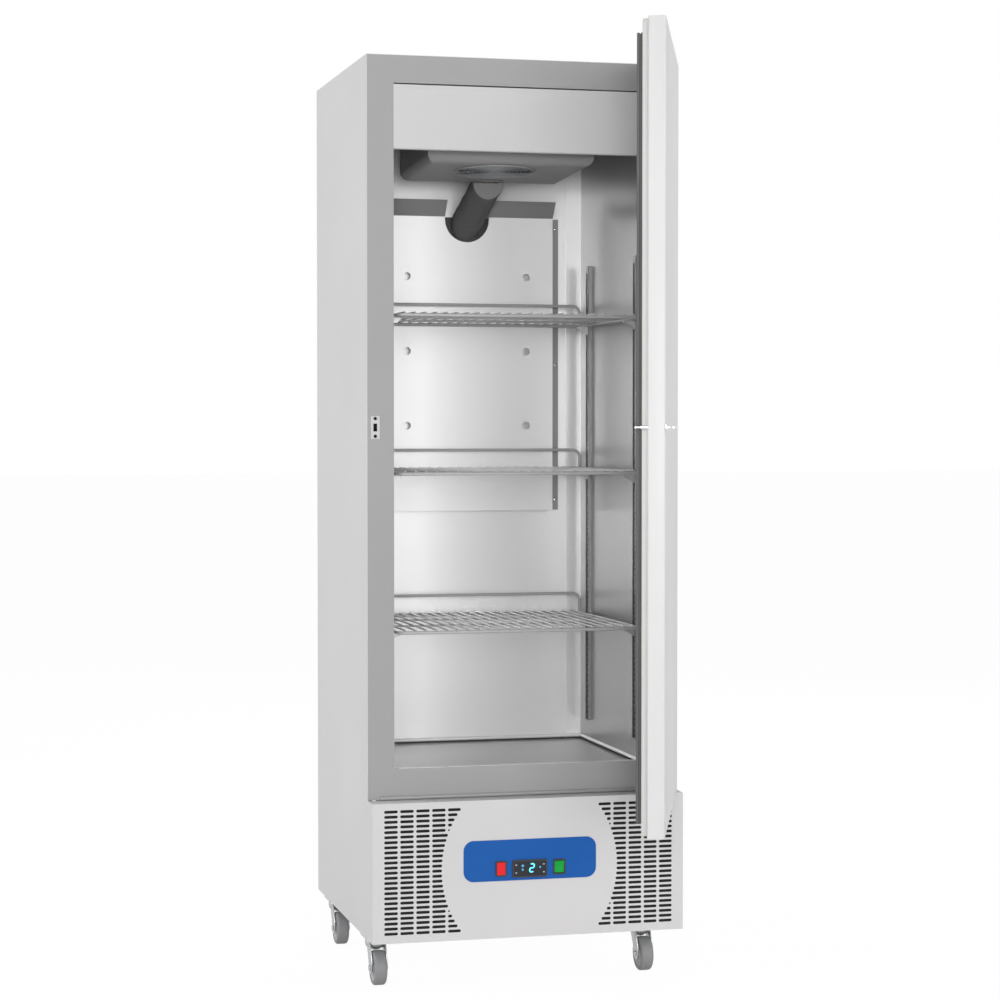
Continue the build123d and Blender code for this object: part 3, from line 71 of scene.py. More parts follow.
MM = 0.001
MIX_FACTOR, MIX_A, MIX_B, MIX_RESULT = 0, 6, 7, 2
FINE_DETAIL = 3.0
DRIFT_NOISE = (2.3, 2.0)
ROUGH_SPREAD = 0.06
NEARLY_STRAIGHT = 1.56
BEND_STEPS = 6
SHEET_SLOT = "light_steel"
BODY_MIDDLE_Y = 0.326
DOOR_REST_ANGLE = math.radians(69.6)
HINGE = Vector((0.3116, -0.3354 + BODY_MIDDLE_Y, 0.0))
DOOR_TURN = Matrix.Translation(HINGE) @ Matrix.Rotation(DOOR_REST_ANGLE, 4, "Z")
DOOR_SWING = DOOR_TURN @ Matrix.Translation(-HINGE)
FACING_FRONT = Matrix.Rotation(math.pi / 2, 4, "X")
FACING_SIDE = Matrix.Rotation(math.pi / 2, 4, "Y")
STUDIO_WHITE = (1.0, 1.0, 1.0, 1.0)


def put(x: float, y: float, z: float) -> Point:
    """A point in metres from one in millimetres round the middle of the cabinet."""
    return (x * MM, depth(y), z * MM)


def depth(y: float) -> float:
    """The scene's Y in metres for one in millimetres round the middle of the cabinet."""
    return y * MM + BODY_MIDDLE_Y


def fill(tree: bpy.types.NodeTree, node: bpy.types.Node, values: dict) -> bpy.types.Node:
    """Fills a node's inputs.

    Args:
        tree: The tree that the node is in.
        node: The node.
        values: For each input, the socket that feeds it or the value that it keeps.

    Returns:
        The node.
    """
    for key, value in values.items():
        if isinstance(value, bpy.types.NodeSocket):
            tree.links.new(value, node.inputs[key])
        else:
            node.inputs[key].default_value = value
    return node


def add_node(
    tree: bpy.types.NodeTree, kind: str, values: dict | None = None, **settings: str
) -> bpy.types.Node:
    """Adds a node, sets its properties and fills its inputs.

    Args:
        tree: The tree that gets the node.
        kind: Blender's name of the node.
        values: What its inputs are filled with.
        settings: Its properties, such as its mode.

    Returns:
        The node.
    """
    node = tree.nodes.new(kind)
    for key, value in settings.items():
        setattr(node, key, value)
    return fill(tree, node, values or {})


@dataclass(frozen=True)
class GrainSizes:
    """How a grain is drawn: its noise scale, bump depth, share of tone and stretch."""

    scale: float
    depth: float
    tone: float
    stretch: Point = (1.0, 1.0, 1.0)


class Grain(Enum):
    """The fine surface of a finish."""

    SPRAYED = GrainSizes(420.0, 0.00006, 0.015)
    BRUSHED = GrainSizes(260.0, 0.00004, 0.06, (1.0, 1.0, 0.04))
    MOULDED = GrainSizes(900.0, 0.0001, 0.04)
    SPANGLED = GrainSizes(70.0, 0.00002, 0.12)
    FOAMED = GrainSizes(260.0, 0.0005, 0.14)
    POLISHED = GrainSizes(60.0, 0.000005, 0.01)


@dataclass(frozen=True)
class Finish:
    """One paint, metal, plastic or rubber, with its grain and a slow change of tone."""

    name: str
    colour: Point
    roughness: float
    grain: Grain
    metallic: float = 0.0
    coat: float = 0.0
    drift: float = 0.03
    glow: float = 0.0
    shine: float = 0.5

    def material(self) -> bpy.types.Material:
        """Builds the material once and gives the same one after that.

        Returns:
            A node material on Object coordinates.
        """
        label = f"{self.name}_finish"
        known = bpy.data.materials.get(label)
        if known is not None:
            return known
        material = bpy.data.materials.new(label)
        material.use_nodes = True
        tree = material.node_tree
        fine, slow = self.noises(tree)
        rough = add_node(tree, "ShaderNodeMapRange", {
            "To Min": max(self.roughness - ROUGH_SPREAD, 0.02),
            "To Max": min(self.roughness + ROUGH_SPREAD, 1.0),
            "Value": slow,
        })
        bump = add_node(tree, "ShaderNodeBump", {
            "Strength": 0.6, "Distance": self.grain.value.depth, "Height": fine,
        })
        values = {
            "Base Color": self.tones(tree, fine, slow),
            "Roughness": rough.outputs["Result"],
            "Normal": bump.outputs["Normal"],
            "Metallic": self.metallic,
            "Coat Weight": self.coat,
            "Coat Roughness": 0.12,
            "Specular IOR Level": self.shine,
        }
        if self.glow:
            values |= {"Emission Color": (*self.colour, 1.0), "Emission Strength": self.glow}
        fill(tree, tree.nodes["Principled BSDF"], values)
        return material

    def noises(self, tree: bpy.types.NodeTree) -> list[bpy.types.NodeSocket]:
        """The grain's fine noise and the slow one that its tone drifts with.

        Args:
            tree: The material's tree.

        Returns:
            The values of both noises.
        """
        sizes = self.grain.value
        place = add_node(tree, "ShaderNodeTexCoord").outputs["Object"]
        mapping = add_node(tree, "ShaderNodeMapping", {"Scale": sizes.stretch, "Vector": place})
        return [
            add_node(tree, "ShaderNodeTexNoise", {
                "Scale": scale, "Detail": detail, "Vector": mapping.outputs["Vector"],
            }).outputs["Fac"]
            for scale, detail in ((sizes.scale, FINE_DETAIL), DRIFT_NOISE)
        ]

    def tones(
        self, tree: bpy.types.NodeTree, fine: bpy.types.NodeSocket, slow: bpy.types.NodeSocket
    ) -> bpy.types.NodeSocket:
        """The colour, darker and lighter with the grain and drifting slowly.

        Args:
            tree: The material's tree.
            fine: The grain's noise.
            slow: The drift's noise.

        Returns:
            The colour's socket.
        """
        tone, shade = self.grain.value.tone, 1.0 - 2.0 * self.drift
        dark, light = (
            (*[min(channel * (1.0 + way * tone), 1.0) for channel in self.colour], 1.0)
            for way in (-1, 1)
        )
        grained = add_node(
            tree, "ShaderNodeMix", {MIX_FACTOR: fine, MIX_A: dark, MIX_B: light}, data_type="RGBA"
        )
        drifted = add_node(
            tree,
            "ShaderNodeMix",
            {MIX_FACTOR: slow, MIX_A: grained.outputs[MIX_RESULT], MIX_B: (shade, shade, shade, 1.0)},
            data_type="RGBA",
            blend_type="MULTIPLY",
        )
        return drifted.outputs[MIX_RESULT]


SIDE_ENAMEL = Finish("side_enamel", (0.62, 0.62, 0.62), 0.45, Grain.SPRAYED, shine=0.3)
FRAME_ENAMEL = Finish("frame_enamel", (0.345, 0.345, 0.345), 0.42, Grain.SPRAYED, shine=0.3)
FASCIA_ENAMEL = Finish("fascia_enamel", (0.58, 0.572, 0.575), 0.40, Grain.SPRAYED, shine=0.3)
BASE_ENAMEL = Finish("base_enamel", (0.64, 0.63, 0.635), 0.45, Grain.SPRAYED, shine=0.3)
LINER_ENAMEL = Finish("liner_enamel", (0.89, 0.885, 0.887), 0.30, Grain.SPRAYED, metallic=0.35, drift=0.02)
DUCT_ENAMEL = Finish("duct_enamel", (0.88, 0.872, 0.875), 0.34, Grain.SPRAYED, metallic=0.30, drift=0.02)
# Painted shade: the side walls are the pale lining painted darker, for the little light that reaches them.
SIDE_WALL_PAINTED_SHADE = Finish("side_wall_painted_shade", (0.37, 0.366, 0.368), 0.34, Grain.BRUSHED, metallic=0.45, drift=0.03)
# Painted shade: the floor is the pale lining painted darker.
FLOOR_PAINTED_SHADE = Finish("floor_painted_shade", (0.66, 0.655, 0.657), 0.34, Grain.SPRAYED, metallic=0.45, drift=0.03)
# Painted shade: the duct's flanges and lip, a dark copy of its pale sheet.
PAINTED_SHADE_STEEL = Finish("painted_shade_steel", (0.32, 0.316, 0.316), 0.45, Grain.SPRAYED, metallic=0.3)
# Painted shade: the pilasters, darkened to match the shaded side walls.
PILASTER_PAINTED_SHADE = Finish("pilaster_painted_shade", (0.30, 0.298, 0.30), 0.38, Grain.BRUSHED, metallic=0.4)
DOOR_ENAMEL = Finish("door_enamel", (0.68, 0.675, 0.675), 0.42, Grain.SPRAYED, shine=0.25)
DOOR_LINING = Finish("door_lining", (0.62, 0.615, 0.62), 0.40, Grain.SPRAYED, shine=0.3)
ZINC_SHEET = Finish("zinc_sheet", (0.50, 0.51, 0.52), 0.45, Grain.SPANGLED, metallic=0.9)
ZINC_PLATED = Finish("zinc_plated", (0.46, 0.47, 0.475), 0.36, Grain.BRUSHED, metallic=0.75)
CHROMED = Finish("chromed", (0.72, 0.72, 0.73), 0.14, Grain.POLISHED, metallic=1.0)
COATED_WIRE = Finish("coated_wire", (0.42, 0.422, 0.424), 0.30, Grain.POLISHED, coat=0.4)
COVER_PLASTIC = Finish("cover_plastic", (0.285, 0.28, 0.281), 0.50, Grain.MOULDED)
SLEEVE_FOAM = Finish("sleeve_foam", (0.125, 0.125, 0.127), 0.85, Grain.FOAMED, drift=0.12)
FOAM_END = Finish("foam_end", (0.24, 0.24, 0.242), 0.85, Grain.FOAMED, drift=0.05)
WALL_FOAM = Finish("wall_foam", (0.66, 0.62, 0.52), 0.90, Grain.FOAMED, drift=0.1)
SEAL_RUBBER = Finish("seal_rubber", (0.072, 0.076, 0.073), 0.60, Grain.MOULDED)
COPPER = Finish("copper", (0.76, 0.40, 0.25), 0.30, Grain.BRUSHED, metallic=1.0, drift=0.1)
ALUMINIUM = Finish("aluminium", (0.70, 0.71, 0.72), 0.38, Grain.BRUSHED, metallic=0.95)
BLACK_PLASTIC = Finish("black_plastic", (0.018, 0.018, 0.02), 0.42, Grain.MOULDED)
BLACK_ENAMEL = Finish("black_enamel", (0.022, 0.022, 0.025), 0.35, Grain.SPRAYED, coat=0.3)
GREY_PLASTIC = Finish("grey_plastic", (0.30, 0.31, 0.32), 0.50, Grain.MOULDED)
BLUE_ENAMEL = Finish("blue_enamel", (0.010, 0.100, 0.385), 0.45, Grain.SPRAYED, shine=0.15)
DISPLAY_BLACK = Finish("display_black", (0.012, 0.014, 0.022), 0.22, Grain.POLISHED, coat=0.1, shine=0.35)
DISPLAY_GLOW = Finish("display_glow", (0.10, 0.72, 0.90), 0.40, Grain.POLISHED, glow=1.6)
SYMBOL_GLOW = Finish("symbol_glow", (0.06, 0.42, 0.62), 0.40, Grain.POLISHED, glow=0.8)
KEY_INK = Finish("key_ink", (0.62, 0.64, 0.66), 0.50, Grain.POLISHED)
RED_PLASTIC = Finish("red_plastic", (0.80, 0.016, 0.024), 0.38, Grain.POLISHED, coat=0.08, shine=0.2)
GREEN_PLASTIC = Finish("green_plastic", (0.003, 0.36, 0.045), 0.38, Grain.POLISHED, coat=0.08, shine=0.2)
GREY_TREAD = Finish("grey_tread", (0.245, 0.245, 0.25), 0.60, Grain.MOULDED)
WHEEL_CORE = Finish("wheel_core", (0.42, 0.43, 0.44), 0.45, Grain.MOULDED)
# Painted shade: the black behind the base's slots, in the strike's pocket and over its screws.
PAINTED_SHADE_BLACK = Finish("painted_shade_black", (0.004, 0.004, 0.0045), 0.90, Grain.FOAMED, drift=0.3)
SHADOW_LINE = Finish("shadow_line", (0.05, 0.05, 0.055), 0.70, Grain.MOULDED)


class Sketch:
    """A mesh that is put together from simple solids before it becomes a piece."""

    def __init__(self) -> None:
        """Starts with an empty mesh."""
        self.mesh = bmesh.new()

    def box(self, one: Point, two: Point) -> "Sketch":
        """Adds a box.

        Args:
            one: One corner.
            two: The corner opposite.

        Returns:
            The sketch itself.
        """
        span = [abs(b - a) for a, b in zip(one, two)]
        middle = [(a + b) / 2 for a, b in zip(one, two)]
        place = Matrix.Translation(middle) @ Matrix.Diagonal((*span, 1.0))
        bmesh.ops.create_cube(self.mesh, size=1.0, matrix=place)
        return self

    def ring(self, spots: Sequence[Point]) -> list[bmesh.types.BMVert]:
        """Adds the corners of one ring."""
        return [self.mesh.verts.new(spot) for spot in spots]

    def bridge(self, one: list[bmesh.types.BMVert], two: list[bmesh.types.BMVert]) -> None:
        """Joins two rings, either of which may be a single point.

        Args:
            one: The corners of one ring.
            two: The corners of the other.
        """
        count = max(len(one), len(two))
        for step in range(count):
            after = (step + 1) % count
            corners = [one[step % len(one)], one[after % len(one)]]
            corners += [two[after % len(two)], two[step % len(two)]]
            self.mesh.faces.new(list(dict.fromkeys(corners)))

    def skin(self, rings: Sequence[Sequence[Point]], closed: bool = False) -> "Sketch":
        """Adds a surface over rings, one after another.

        Args:
            rings: The corners of each ring, or a single point.
            closed: Whether the last ring joins the first; else both ends are capped.

        Returns:
            The sketch itself.
        """
        made = [self.ring(spots) for spots in rings]
        for one, two in zip(made, made[1:] + made[:1] if closed else made[1:]):
            self.bridge(one, two)
        for end in () if closed else (made[0], made[-1]):
            if len(end) > 1:
                self.mesh.faces.new(end)
        return self

    def spun(
        self, outline: Sequence[Flat], place: Matrix, steps: int = 48, closed: bool = False
    ) -> "Sketch":
        """Adds a turned solid.

        Args:
            outline: Pairs of a radius and a distance along the axis, from one end to the other.
            place: Where the axis lies: its Z is the turned solid's axis.
            steps: How many faces go round.
            closed: Whether the outline closes on itself, off the axis.

        Returns:
            The sketch itself.
        """
        rings = []
        for radius, along in outline:
            spots = circle(radius, steps) if radius else [(0.0, 0.0)]
            rings.append([place @ Vector((x, y, along)) for x, y in spots])
        return self.skin(rings, closed)

    def tube(
        self, route: Sequence[Vector], section: Sequence[Flat], closed: bool = False
    ) -> "Sketch":
        """Adds a section carried along a route.

        Args:
            route: The points that the section's middle follows.
            section: The section's corners, across and up.
            closed: Whether the route comes back to its start.

        Returns:
            The sketch itself.
        """
        count = len(route)
        rings = []
        across = None
        for index, spot in enumerate(route):
            before = route[(index - 1) % count] if closed or index else spot
            after = route[(index + 1) % count] if closed or index < count - 1 else spot
            inward = (spot - before if spot != before else after - spot).normalized()
            outward = (after - spot).normalized() if spot != after else inward
            along = (inward + outward).normalized()
            if across is None:
                up = Vector((0, 0, 1)) if abs(along.z) < 0.9 else Vector((0, 1, 0))
                across = up.cross(along).normalized()
            across = (across - along * across.dot(along)).normalized()
            rise = along.cross(across)
            stretch = 1.0 / max(math.cos(inward.angle(outward, 0.0) / 2), 0.3)
            bend = outward - inward
            side = bend.normalized() if bend.length > 1e-6 else across
            offsets = [across * x + rise * y for x, y in section]
            rings.append([spot + o + side * o.dot(side) * (stretch - 1.0) for o in offsets])
        return self.skin(rings, closed)

    def loft(self, outline: Sequence[Point], push: Vector) -> "Sketch":
        """Adds a flat outline pushed along a vector into a solid."""
        return self.skin([outline, [Vector(spot) + push for spot in outline]])

    def turned(self, place: Matrix) -> "Sketch":
        """Moves everything so far by a matrix."""
        bmesh.ops.transform(self.mesh, matrix=place, verts=self.mesh.verts)
        return self

    def done(self, name: str) -> bpy.types.Object:
        """Closes the sketch and gives it as an object, with its faces pointing outwards.

        Args:
            name: The piece's name.

        Returns:
            The object, linked into the scene.
        """
        bmesh.ops.recalc_face_normals(self.mesh, faces=self.mesh.faces)
        data = bpy.data.meshes.new(name)
        self.mesh.to_mesh(data)
        self.mesh.free()
        return add_object(name, data)

    def piece(
        self,
        name: str,
        finish: Finish,
        *nodes: str,
        body: str = "cabinet",
        slot: str = "",
        limit: float = 0.0,
        bevel: float = 0.0,
    ) -> None:
        """Ends the sketch as a dressed piece.

        Args:
            name: The piece's name.
            finish: Its finish.
            nodes: The CAD nodes that it replaces.
            body: The CAD body that it rides on.
            slot: Its material slot, where it replaces no node.
            limit: The angle in degrees past which an edge stays crisp; at nought all faces are flat.
            bevel: How far its sharp edges are rounded, in metres.
        """
        made = self.done(name)
        if bevel:
            soften(made, bevel, limit)
        elif limit:
            smooth(made, limit)
        dress(made, finish, *nodes, body=body, slot=slot)


def add_object(name: str, data: bpy.types.ID) -> bpy.types.Object:
    """Adds an object to the scene.

    Args:
        name: Its name.
        data: Its mesh, curve, lamp or camera.

    Returns:
        The object.
    """
    made = bpy.data.objects.new(name, data)
    bpy.context.scene.collection.objects.link(made)
    return made


def arc(middle: Flat, radius: float, first: float, sweep: float, steps: int) -> list[Flat]:
    """Points along an arc, with both its ends.

    Args:
        middle: The arc's centre.
        radius: Its radius.
        first: The angle in degrees that it starts at.
        sweep: How many degrees it goes on for, clockwise where negative.
        steps: How many straight lengths it is drawn with.

    Returns:
        The points.
    """
    angles = [math.radians(first + sweep * step / steps) for step in range(steps + 1)]
    return [(middle[0] + radius * math.cos(a), middle[1] + radius * math.sin(a)) for a in angles]


def circle(radius: float, sides: int = 16, middle: Flat = (0.0, 0.0)) -> list[Flat]:
    """The corners of a round section."""
    return arc(middle, radius, 0, 360, sides)[:-1]


def rectangle(middle: Flat, size: Flat) -> list[Flat]:
    """The four corners of a rectangle round its middle."""
    x, z = size[0] / 2, size[1] / 2
    return [(middle[0] + sx * x, middle[1] + sz * z) for sx, sz in ((-1, -1), (1, -1), (1, 1), (-1, 1))]


def rounded_outline(width: float, height: float, radius: float, steps: int) -> list[Flat]:
    """The corners of a rectangle with rounded corners, round its middle.

    Args:
        width: Its size along the first axis.
        height: Its size along the second.
        radius: The radius at its corners.
        steps: How many straight lengths each corner is drawn with.

    Returns:
        The points.
    """
    spots = []
    for turn, (sx, sy) in enumerate(((1, 1), (-1, 1), (-1, -1), (1, -1))):
        middle = (sx * (width / 2 - radius), sy * (height / 2 - radius))
        spots += arc(middle, radius, 90 * turn, 90, steps)
    return spots


def slot_outline(low: float, high: float, z: float, height: float) -> list[Flat]:
    """The corners of a level slot with round ends.

    Args:
        low: Where it starts.
        high: Where it ends.
        z: The height of its middle.
        height: How tall it is.

    Returns:
        The points.
    """
    radius = min(height, high - low) / 2
    right, left = (high - radius, z), (low + radius, z)
    return arc(right, radius, -90, 180, 6) + arc(left, radius, 90, 180, 6)


def rod(radius: float, low: float, high: float) -> list[Flat]:
    """The outline of a plain rod that is turned from one end to the other."""
    return [(0.0, low), (radius, low), (radius, high), (0.0, high)]


def mirrored(profile: list[Flat]) -> list[Flat]:
    """A closed profile from its one half along the axis."""
    return profile + [(radius, -along) for radius, along in reversed(profile)]


def rounded_route(corners: Sequence[Point], bend: float, closed: bool = False) -> list[Vector]:
    """A route with its corners rounded.

    Args:
        corners: The route's corners.
        bend: The radius at each corner.
        closed: Whether it comes back to its start.

    Returns:
        The points of the rounded route.
    """
    spots = [Vector(corner) for corner in corners]
    count = len(spots)
    route = []
    for index, spot in enumerate(spots):
        if not closed and index in (0, count - 1):
            route.append(spot)
            continue
        to_last = (spots[index - 1] - spot).normalized()
        to_next = (spots[(index + 1) % count] - spot).normalized()
        half = to_last.angle(to_next) / 2
        if half > NEARLY_STRAIGHT:
            route.append(spot)
            continue
        reach = bend / math.tan(half)
        middle = spot + (to_last + to_next).normalized() * (bend / math.sin(half))
        start = spot + to_last * reach - middle
        end = spot + to_next * reach - middle
        sweep = start.angle(end)
        for step in range(BEND_STEPS + 1):
            share = step / BEND_STEPS
            mixed = start * math.sin((1 - share) * sweep) + end * math.sin(share * sweep)
            route.append(middle + mixed / math.sin(sweep))
    return route


def plain_mesh(piece: bpy.types.Object) -> bpy.types.Mesh:
    """What a piece's modifiers or its filled curve come to, as one plain mesh.

    Args:
        piece: The piece.

    Returns:
        The mesh.
    """
    bpy.context.view_layer.update()
    graph = bpy.context.evaluated_depsgraph_get()
    return bpy.data.meshes.new_from_object(piece.evaluated_get(graph))


def settle(piece: bpy.types.Object) -> None:
    """Turns a piece and its modifiers into one plain mesh."""
    plain = plain_mesh(piece)
    piece.modifiers.clear()
    piece.data = plain


def smooth(piece: bpy.types.Object, limit: float) -> None:
    """Shades a piece smoothly, with edges sharper than the limit left crisp."""
    piece.data.shade_smooth()
    piece.data.set_sharp_from_angle(angle=math.radians(limit))


def soften(piece: bpy.types.Object, width: float, limit: float) -> None:
    """Rounds a piece's sharp edges and shades the rest smoothly.

    Args:
        piece: The piece to finish.
        width: How far the rounding reaches.
        limit: The angle in degrees past which an edge is sharp.
    """
    bevel = piece.modifiers.new("edges", "BEVEL")
    bevel.width = width
    bevel.segments = 2
    bevel.limit_method = "ANGLE"
    bevel.angle_limit = math.radians(limit)
    bevel.harden_normals = False
    settle(piece)
    smooth(piece, limit)


def dress(
    piece: bpy.types.Object, finish: Finish, *nodes: str, body: str = "cabinet", slot: str = ""
) -> None:
    """Gives a new piece its finish and its body, and hides the CAD nodes that it stands for.

    Args:
        piece: The finished piece.
        finish: Its finish.
        nodes: The CAD nodes that it replaces.
        body: The CAD body that it rides on.
        slot: Not used.
    """
    piece.data.materials.clear()
    piece.data.materials.append(finish.material())
    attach(piece, body)
    if nodes:
        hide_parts(*nodes)
    log.info("%s rides on %s in %s", piece.name, body, finish.name)


def keep(finish: Finish, *nodes: str) -> None:
    """Gives carried-over CAD nodes their finish.

    Args:
        finish: The finish.
        nodes: The nodes' names.
    """
    for node in nodes:
        held = frame["nodes"][node]
        held.data.materials.clear()
        held.data.materials.append(finish.material())
        log.info("%s stays in %s", node, finish.name)


class Repeater:
    """A geometry node tree that repeats one small solid, with its sizes as named inputs."""

    def __init__(self, name: str) -> None:
        """Starts a tree with a geometry input and output."""
        self.tree = bpy.data.node_groups.new(name, "GeometryNodeTree")
        for way in ("INPUT", "OUTPUT"):
            self.tree.interface.new_socket("Geometry", in_out=way, socket_type="NodeSocketGeometry")
        self.inlet = self.add("NodeGroupInput")

    def add(self, kind: str, values: dict | None = None, **settings: str) -> bpy.types.Node:
        """Adds a node, with its inputs and its properties."""
        return add_node(self.tree, kind, values, **settings)

    def input(self, name: str, kind: str) -> bpy.types.NodeSocket:
        """Adds a named input and gives its socket."""
        self.tree.interface.new_socket(name, in_out="INPUT", socket_type=f"NodeSocket{kind}")
        return self.inlet.outputs[name]

    def finish(self, instances: bpy.types.NodeSocket, material: bpy.types.Material) -> None:
        """Ends the tree with Realize Instances and Set Material.

        Args:
            instances: The instances to realize.
            material: Their material.
        """
        real = self.add("GeometryNodeRealizeInstances", {"Geometry": instances})
        held = {"Geometry": real.outputs["Geometry"], "Material": material}
        paint = self.add("GeometryNodeSetMaterial", held)
        self.add("NodeGroupOutput", {0: paint.outputs["Geometry"]})

    def apply(self, name: str, sizes: dict, base: bpy.types.Mesh | None = None) -> bpy.types.Object:
        """Runs the tree on a new object and turns the result into a plain mesh.

        Args:
            name: The piece's name.
            sizes: The value of each named input.
            base: The mesh that the tree starts from, if it needs one.

        Returns:
            The plain piece.
        """
        piece = add_object(name, base or bpy.data.meshes.new(name))
        modifier = piece.modifiers.new(name, "NODES")
        modifier.node_group = self.tree
        for item in self.tree.interface.items_tree:
            if item.in_out == "INPUT" and item.name in sizes:
                modifier[item.identifier] = sizes[item.name]
        settle(piece)
        return piece


def row_of_bars(material: bpy.types.Material) -> Repeater:
    """A row of equal bars: each is a round section carried along one straight line.

    Args:
        material: The bars' material.

    Returns:
        The tree, with the row's start, step and count, each bar's reach, and its section.
    """
    tree = Repeater("row_of_bars")
    kinds = {
        "Start": "Vector", "Step": "Vector", "Count": "Int", "Reach": "Vector",
        "Radius": "Float", "Sides": "Int",
    }
    sockets = {name: tree.input(name, kind) for name, kind in kinds.items()}
    row = tree.add("GeometryNodeMeshLine", {
        "Count": sockets["Count"], "Start Location": sockets["Start"], "Offset": sockets["Step"],
    }, mode="OFFSET")
    line = tree.add("GeometryNodeCurvePrimitiveLine", {"End": sockets["Reach"]}, mode="POINTS")
    section = tree.add("GeometryNodeCurvePrimitiveCircle", {
        "Resolution": sockets["Sides"], "Radius": sockets["Radius"],
    })
    bar = tree.add("GeometryNodeCurveToMesh", {
        "Fill Caps": True, "Curve": line.outputs["Curve"], "Profile Curve": section.outputs["Curve"],
    })
    placed = tree.add("GeometryNodeInstanceOnPoints", {
        "Points": row.outputs["Mesh"], "Instance": bar.outputs["Mesh"],
    })
    tree.finish(placed.outputs["Instances"], material)
    return tree


def copies_on_points(shape: bpy.types.Object, material: bpy.types.Material) -> Repeater:
    """One small solid set on every point of a base mesh, turned by a named angle.

    Args:
        shape: The solid, drawn round the origin.
        material: The copies' material.

    Returns:
        The tree, with the turn as its input.
    """
    tree = Repeater(f"copies_of_{shape.name}")
    turn = tree.input("Turn", "Rotation")
    held = tree.add("GeometryNodeObjectInfo", {"Object": shape})
    placed = tree.add("GeometryNodeInstanceOnPoints", {
        "Points": tree.inlet.outputs[0], "Instance": held.outputs["Geometry"], "Rotation": turn,
    })
    tree.finish(placed.outputs["Instances"], material)
    return tree


def sheet_with_holes(
    outline: Sequence[Flat], holes: Sequence[Sequence[Flat]], thick: float, back: float = 0.0
) -> Sketch:
    """A flat upright sheet with holes cut through it.

    Args:
        outline: The sheet's corners in X and Z.
        holes: The corners of each hole.
        thick: The sheet's thickness.
        back: The Y of its back.

    Returns:
        A sketch with the sheet.
    """
    curve = bpy.data.curves.new("sheet", "CURVE")
    curve.dimensions = "2D"
    curve.fill_mode = "BOTH"
    curve.extrude = thick / 2
    for loop in (outline, *holes):
        spline = curve.splines.new("POLY")
        spline.points.add(len(loop) - 1)
        for point, (x, z) in zip(spline.points, loop):
            point.co = (x, z, 0.0, 1.0)
        spline.use_cyclic_u = True
    drawn = add_object("sheet", curve)
    plain = plain_mesh(drawn)
    sketch = Sketch()
    sketch.mesh.from_mesh(plain)
    for held, things in ((drawn, bpy.data.objects), (plain, bpy.data.meshes), (curve, bpy.data.curves)):
        things.remove(held)
    bmesh.ops.remove_doubles(sketch.mesh, verts=sketch.mesh.verts, dist=1e-6)
    return sketch.turned(Matrix.Translation((0, back - thick / 2, 0)) @ FACING_FRONT)


SWITCH_WAYS = [
    rectangle((-0.0654, 0.254), (0.022, 0.0308)),
    rectangle((-0.0016, 0.2524), (0.071, 0.029)),
    rectangle((0.0649, 0.2534), (0.0245, 0.0304)),
]


@dataclass
class CabinetShell:
    """The outer sheets, the frame round the opening and the panel across its top."""

    sheet: float = 1.2
    fascia_round: float = 4.0
    fascia_return: float = 11.0
    trim_flat: float = 0.4

    def build(self) -> None:
        """Dresses the sheets and draws the fascia and the trim."""
        keep(SIDE_ENAMEL, "side_panel_left", "side_panel_right", "top_panel")
        keep(ZINC_SHEET, "back_panel", "bottom_panel")
        keep(FRAME_ENAMEL, "front_frame")
        keep(WALL_FOAM, "insulation_foam")
        self.fascia()
        self.trim()

    def fascia(self) -> None:
        """The panel with its rounded lower edge and its returns at both sides."""
        low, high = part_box("fascia_panel")
        y, wall, radius = low.y, self.sheet * MM, self.fascia_round * MM
        lip = y + self.fascia_return * MM
        section = [(y, high.z), *arc((y + radius, low.z + radius), radius, 180, 90, 5), (lip, low.z)]
        inner = [(py + wall * 0.7, max(pz, low.z + wall)) for py, pz in section[:-1]]
        loop = section + [(lip, low.z + wall)] + inner[::-1]
        sketch = Sketch().loft([(low.x, py, pz) for py, pz in loop], Vector((high.x - low.x, 0, 0)))
        for x in (low.x, high.x - wall):
            sketch.box((x, y + radius, low.z + radius), (x + wall, high.y, high.z))
        sketch.piece("fascia_panel_skin", FASCIA_ENAMEL, "fascia_panel", limit=40)

    def trim(self) -> None:
        """The rounded strip at the frame's foot."""
        low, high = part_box("sill_trim")
        radius = (high.z - low.z) / 2
        front = high.y - radius * self.trim_flat
        section = [(high.y, high.z), (high.y, low.z)]
        for across, up in arc((0.0, 0.0), 1.0, -90, -180, 8):
            section.append((front + (front - low.y) * across, low.z + radius + radius * up))
        sketch = Sketch().loft([(low.x, y, z) for y, z in section], Vector((high.x - low.x, 0, 0)))
        sketch.piece("sill_trim_skin", FRAME_ENAMEL, "sill_trim", limit=35, bevel=0.0006)


